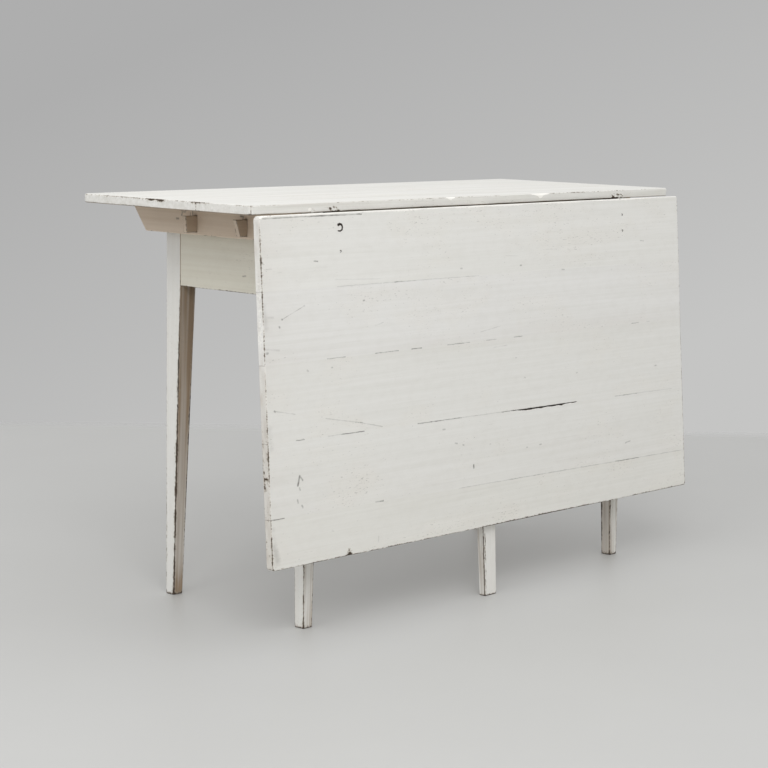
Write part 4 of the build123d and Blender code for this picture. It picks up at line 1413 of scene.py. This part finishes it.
def swing_wear(local, seed):
    """The left front corner is rubbed to the wood in two uneven lines."""
    z, v, w = local[:, 0], local[:, 1], local[:, 2]
    rub = 0.5 + 0.5 * drift(local, (50, 500, 500), 77)
    corner = fading(v, 1.6 * mm) * fading(w, 2.4 * mm) * unit((rubbed_below - z) / rubbed_fade)
    line = 6.2 * mm + 1.2 * mm * drift(local, (30, 500, 500), 78)
    beside = hill(v, line, 1.1 * mm) * fading(w, mm) * (hill(z, *long_line) + 0.7 * hill(z, *short_line))
    foot = fading(z, 3 * mm)
    return 1.2 * mm * foot, corner * (0.65 + rub) + 1.1 * beside + 0.8 * foot


def swing_bare(points, size):
    """The back face is thinly painted, and low down the left one is darkened in brown streaks as painted shade.
    """
    back = 0.7 * beyond(points[:, 2] / size[2], *inner_face)
    front = 0.05 * near(points[:, 2], 1.5 * mm)
    # Brown streaks low on the left face: painted shade
    stain = unit(0.22 + 0.35 * drift(points, (60, 500, 5), 79)) * unit(1.4 - points[:, 0] / (200 * mm))
    return np.maximum(np.maximum(back, front), stain * near(points[:, 1], 1.5 * mm))


hollow_reach = math.hypot(*leaf_corner) + turning_gap
hollow_low = hinge_line[2] - hollow_reach
hollow_depth = hinge_line[1] + hollow_reach - swing_front(swing_height)
timber("swing-leg", (swing_height, swing_width, swing_depth), swing_place, "table", ["swing_leg"], frame_paint,
       81, radius=0.9, worn=0.34, holes=[((hollow_low, -1.0, -1.0), (1.0, 1.0, hollow_depth))],
       steps=(6.0, 4.0, 4.0), wear=swing_wear, bare=swing_bare)
print("swing leg hollowed", round(hollow_depth / mm, 1), "mm deep at its top")

# %% [markdown]
# ## Gate rails and hinges
# The rails of the gate end in the rounded fingers of a wooden hinge, and the iron hinges have eyes, so both are
# more than a block. The solid model has these shapes. A copy of it is merged into clean faces and given a
# small bevel, which catches the light as a planed or a filed edge does.

# %% Gate rails and hinges
planed_edge = 0.8 * mm
filed_edge = 0.35 * mm
bevel_segments = 2
same_place = 0.01 * mm
flat_angle = math.radians(1)
bevel_angle = math.radians(35)
crease_angle = math.radians(40)


def eased_copy(node, body, material, width):
    """Copy of a solid with merged faces and bevelled edges, in place of the solid."""
    mesh = frame["nodes"][node].data.copy()
    mesh.name = node.replace("_", "-")
    shape = bmesh.new()
    shape.from_mesh(mesh)
    bmesh.ops.remove_doubles(shape, verts=shape.verts, dist=same_place)
    bmesh.ops.dissolve_limit(shape, angle_limit=flat_angle, verts=shape.verts, edges=shape.edges)
    sharp = [e for e in shape.edges if len(e.link_faces) == 2 and e.calc_face_angle(0) > bevel_angle]
    bmesh.ops.bevel(shape, geom=sharp, offset=width, segments=bevel_segments, affect="EDGES",
                    clamp_overlap=True)
    shape.to_mesh(mesh)
    shape.free()
    mesh.shade_smooth()
    mesh.set_sharp_from_angle(angle=crease_angle)
    mesh.materials.clear()
    mesh.materials.append(material)
    return hand_over(bpy.data.objects.new(mesh.name, mesh), body, [node])


for node in ("hinge_rail", "fly_rail"):
    eased_copy(node, "table", gate_pine, planed_edge)
for node in ("hinge_plate_left", "hinge_plate_right", "hinge_pin_left", "hinge_pin_right", "knuckle_pin"):
    eased_copy(node, "table", hinge_iron, filed_edge)
for node in ("hinge_strap_left", "hinge_strap_right"):
    eased_copy(node, "leaf", hinge_iron, filed_edge)
print("gate rails and hinges:", [name for name in made if "hinge" in name or "rail" in name])

# %% [markdown]
# ## Pegs and nails
# Draw-bore pegs hold every joint of the frame and forged nails hold the iron. They repeat, so a Geometry Nodes
# tree makes them: it sets a many-sided head and shank on each point, turned along a direction stored with the
# point. The sizes are inputs of the tree, the sides of the heads differ between pegs and nails, and the
# result is made a plain mesh before it is handed to the table.

# %% Tree for driven pegs and nails
def fastener_tree():
    """Tree that sets a shank with a head on each point of a mesh, along the point's stored direction."""
    tree = bpy.data.node_groups.new("driven fasteners", "GeometryNodeTree")
    for label, kind in (("Geometry", "NodeSocketGeometry"), ("Sides", "NodeSocketInt"),
                        ("Shank Radius", "NodeSocketFloat"), ("Shank Length", "NodeSocketFloat"),
                        ("Head Radius", "NodeSocketFloat"), ("Head Top Radius", "NodeSocketFloat"),
                        ("Head Height", "NodeSocketFloat"), ("Material", "NodeSocketMaterial")):
        tree.interface.new_socket(label, in_out="INPUT", socket_type=kind)
    tree.interface.new_socket("Geometry", in_out="OUTPUT", socket_type="NodeSocketGeometry")
    given = add(tree, "NodeGroupInput").outputs
    shank = add(tree, "GeometryNodeMeshCone",
                {"Vertices": given["Sides"], "Radius Top": given["Shank Radius"],
                 "Radius Bottom": given["Shank Radius"], "Depth": given["Shank Length"]}).outputs[0]
    sink = add(tree, "ShaderNodeMath", {0: given["Shank Length"], 1: -1.0}, operation="MULTIPLY").outputs[0]
    drop = add(tree, "ShaderNodeCombineXYZ", {"Z": sink}).outputs[0]
    shank = add(tree, "GeometryNodeTransform", {"Geometry": shank, "Translation": drop}).outputs[0]
    head = add(tree, "GeometryNodeMeshCone",
               {"Vertices": given["Sides"], "Radius Top": given["Head Top Radius"],
                "Radius Bottom": given["Head Radius"], "Depth": given["Head Height"]}).outputs[0]
    both = add(tree, "GeometryNodeJoinGeometry")
    tree.links.new(shank, both.inputs[0])
    tree.links.new(head, both.inputs[0])
    along = add(tree, "GeometryNodeInputNamedAttribute", {"Name": "along"}, data_type="FLOAT_VECTOR").outputs[0]
    turned = add(tree, "FunctionNodeAlignRotationToVector", {"Vector": along}, axis="Z").outputs[0]
    loose = add(tree, "FunctionNodeRandomValue", {2: -0.5, 3: 0.5, "Seed": 4}, data_type="FLOAT").outputs[1]
    spin = add(tree, "ShaderNodeCombineXYZ", {"Z": loose}).outputs[0]
    turned = add(tree, "FunctionNodeRotateRotation", {0: turned, 1: spin}, rotation_space="LOCAL").outputs[0]
    points = add(tree, "GeometryNodeMeshToPoints", {"Mesh": given["Geometry"]}).outputs[0]
    set_in = add(tree, "GeometryNodeInstanceOnPoints",
                 {"Points": points, "Instance": both.outputs[0], "Rotation": turned}).outputs[0]
    real = add(tree, "GeometryNodeRealizeInstances", {"Geometry": set_in}).outputs[0]
    coated = add(tree, "GeometryNodeSetMaterial", {"Geometry": real, "Material": given["Material"]}).outputs[0]
    add(tree, "NodeGroupOutput", {"Geometry": coated})
    return tree


fasteners = fastener_tree()
print("fastener tree of", len(fasteners.nodes), "nodes")


# %% Driven pegs and nails
def drive(name, places, body, nodes, material, sizes, sides):
    """Sets fasteners of one size at (point, direction) places and makes them one plain mesh."""
    mesh = bpy.data.meshes.new(name + " places")
    mesh.from_pydata([point for point, along in places], [], [])
    mesh.attributes.new("along", "FLOAT_VECTOR", "POINT").data.foreach_set(
        "vector", np.array([along for point, along in places], np.float32).ravel())
    seed_piece = bpy.data.objects.new(name + " places", mesh)
    bpy.context.collection.objects.link(seed_piece)
    modifier = seed_piece.modifiers.new("fasteners", "NODES")
    modifier.node_group = fasteners
    inputs = {item.name: item.identifier for item in fasteners.interface.items_tree if item.in_out == "INPUT"}
    modifier[inputs["Sides"]] = sides
    modifier[inputs["Material"]] = material
    for label, value in sizes.items():
        modifier[inputs[label]] = value * mm
    evaluated = seed_piece.evaluated_get(bpy.context.evaluated_depsgraph_get())
    plain = bpy.data.meshes.new_from_object(evaluated)
    plain.name = name
    bpy.data.objects.remove(seed_piece)
    count = len(plain.vertices)
    for label, value in (("wear", 0.0), ("bare", 0.0), ("seed", 3.0)):
        plain.attributes.new(label, "FLOAT", "POINT").data.foreach_set("value", [value] * count)
    spots = np.zeros(count * 3, np.float32)
    plain.vertices.foreach_get("co", spots)
    plain.attributes.new("timber", "FLOAT_VECTOR", "POINT").data.foreach_set("vector", spots)
    return hand_over(bpy.data.objects.new(name, plain), body, nodes)


# %% Pegs of the frame
# Sizes in mm
peg_sizes = {"Shank Radius": 3.9, "Shank Length": 12,
             "Head Radius": 3.9, "Head Top Radius": 3.5, "Head Height": 0.25}
peg_sides = 8
peg_radius = 4 * mm
peg_inset = 28.5 * mm
peg_spacing = 64 * mm
peg_stagger = 14 * mm
for side, out_x in (("left", -1), ("right", 1)):
    for end, out_y in (("front", -1), ("back", 1)):
        node = "leg_pegs_{}_{}".format(end, side)
        low, high = box_of(node)
        leg_low, leg_high = box_of("leg_{}_{}".format(end, side))
        face_x = leg_low[0] if out_x < 0 else leg_high[0]
        face_y = leg_low[1] if out_y < 0 else leg_high[1]
        in_x = high[0] - peg_radius if out_x < 0 else low[0] + peg_radius
        in_y = face_y - out_y * peg_inset
        top_peg = high[2] - peg_radius
        places = []
        for level in (top_peg, top_peg - peg_spacing):
            places.append(((face_x, in_y, level), (out_x, 0, 0)))
            places.append(((in_x, face_y, level - peg_stagger), (0, out_y, 0)))
        drive("pegs-{}-{}".format(end, side), places, "table", [node], frame_paint, peg_sizes,
              peg_sides)
low, high = box_of("swing_leg_pegs")
swing_peg_places = [((0.5 * (low[0] + high[0]), gate_back, z), (0, 1, 0))
                    for z in (low[2] + peg_radius, high[2] - peg_radius)]
drive("swing-leg-pegs", swing_peg_places, "table", ["swing_leg_pegs"], gate_pine, peg_sizes,
      peg_sides)
print("pegs:", [name for name in made if "peg" in name])

# %% Nails of the hinges and the gate
# Sizes in mm
nail_sizes = {"Shank Radius": 1.6, "Shank Length": 10,
              "Head Radius": 4.2, "Head Top Radius": 2.2, "Head Height": 1.8}
nail_sides = 7
plate_reaches = 16 * mm, 64 * mm
strap_reaches = {"near": 28 * mm, "far": 69 * mm}
plate_nails = []
strap_nails = []
clenches = {}
for side in ("left", "right"):
    low, high = box_of("hinge_plate_" + side)
    x = (low[0] + high[0]) / 2
    for reach in plate_reaches:
        plate_nails.append(((x, hinge_line[1] + reach, leg_top - hinge_thickness), (0, 0, -1)))
    for nail, reach in strap_reaches.items():
        y = hinge_line[1] - reach
        under, over = hung(np.array([[x, y, leg_top - hinge_thickness], [x, y, table_top]]))
        inward = (under - over) / np.linalg.norm(under - over)
        strap_nails.append((under, inward))
        clenches[side, nail] = over, -inward
low, high = box_of("hinge_rail_nails")
rail_front = box_of("hinge_rail")[0][1]
head_radius = nail_sizes["Head Radius"] * mm
rail_nails = [((x, rail_front, z), (0, -1, 0)) for x in (low[0] + head_radius, high[0] - head_radius)
              for z in (low[2] + head_radius, high[2] - head_radius)]
for name, places, body, nodes in (
    ("plate-nails", plate_nails, "table", ["hinge_plate_nails"]),
    ("strap-nails", strap_nails, "leaf", []),
    ("hinge-rail-nails", rail_nails, "table", ["hinge_rail_nails"]),
):
    drive(name, places, body, nodes, hinge_iron, nail_sizes, nail_sides)
print("nails:", [name for name in made if "nail" in name])

# %% [markdown]
# ## Clenched nail ends
# The strap nails go right through the leaf and are hammered over on its face. Their ends show as small dark
# hooks in the paint. A short bar is drawn along a hook-shaped path on the face, thin at its point.

# %% Shape of a hook
# Path of a hook along the leaf and down it in mm, and its section across the path and out of the face as shares
hook_path = [(-2.8, 1.0), (0, 0), (2.6, 0.6), (3.6, 2.8), (3.0, 5.4), (0.6, 6.6), (-2.6, 6.2)]
hook_section = [(-1, -0.3), (-0.75, 0.6), (0, 1), (0.75, 0.6), (1, -0.3)]
hook_width = 2.9
hook_height = 0.8
point_thinning = 0.55


def clench(points, faces, over, out, size, lift):
    """Adds one hooked nail end to lists of points and faces. It shows a little above the nail, because the
    shank between them was hammered into the wood."""
    across = Vector((1, 0, 0))
    out = Vector(out)
    down = across.cross(out)
    if down.z > 0:
        down = -down
    last = len(hook_path) - 1
    rings = []
    for index, (x, s) in enumerate(hook_path):
        before = Vector(hook_path[max(0, index - 1)])
        after = Vector(hook_path[min(last, index + 1)])
        run = (after - before).normalized()
        sideways = across * -run.y + down * run.x
        half = hook_width * size * (1 - point_thinning * index / last) / 2
        centre = Vector(over) + ((across * x + down * s) * size - down * lift) * mm
        ring = []
        for shift, height in hook_section:
            ring.append(len(points))
            points.append(centre + sideways * shift * half * mm + out * height * hook_height * mm)
        rings.append(ring)
    for one, two in zip(rings, rings[1:]):
        for k in range(len(one)):
            after = (k + 1) % len(one)
            faces.append((one[k], one[after], two[after], two[k]))
    faces.append(tuple(rings[0][::-1]))
    faces.append(tuple(rings[-1]))


print("hook bar", hook_width, "mm wide, on a path of", len(hook_path), "points")

# %% Clenched nail ends
# Size of each hook, and how far above its nail it shows in mm
hooks = {("left", "near"): (1.85, 10.0), ("left", "far"): (0.5, 5.0),
         ("right", "near"): (0.5, 0.0), ("right", "far"): (0.5, 9.0)}
hook_points, hook_faces = [], []
for nail, (size, lift) in hooks.items():
    clench(hook_points, hook_faces, *clenches[nail], size, lift)
hook_mesh = bpy.data.meshes.new("clenched nail ends")
hook_mesh.from_pydata(hook_points, [], hook_faces)
shape = bmesh.new()
shape.from_mesh(hook_mesh)
bmesh.ops.recalc_face_normals(shape, faces=shape.faces)
shape.to_mesh(hook_mesh)
shape.free()
hook_mesh.shade_smooth()
hook_mesh.materials.append(hinge_iron)
hand_over(bpy.data.objects.new("clenched-nail-ends", hook_mesh), "leaf", ["hinge_strap_nails"])
print("clenched ends:", len(clenches))

# %% [markdown]
# ## Faces
# The finished pieces and their faces are counted.

# %% Faces
print(sum(made.values()), "faces in", len(made), "pieces")
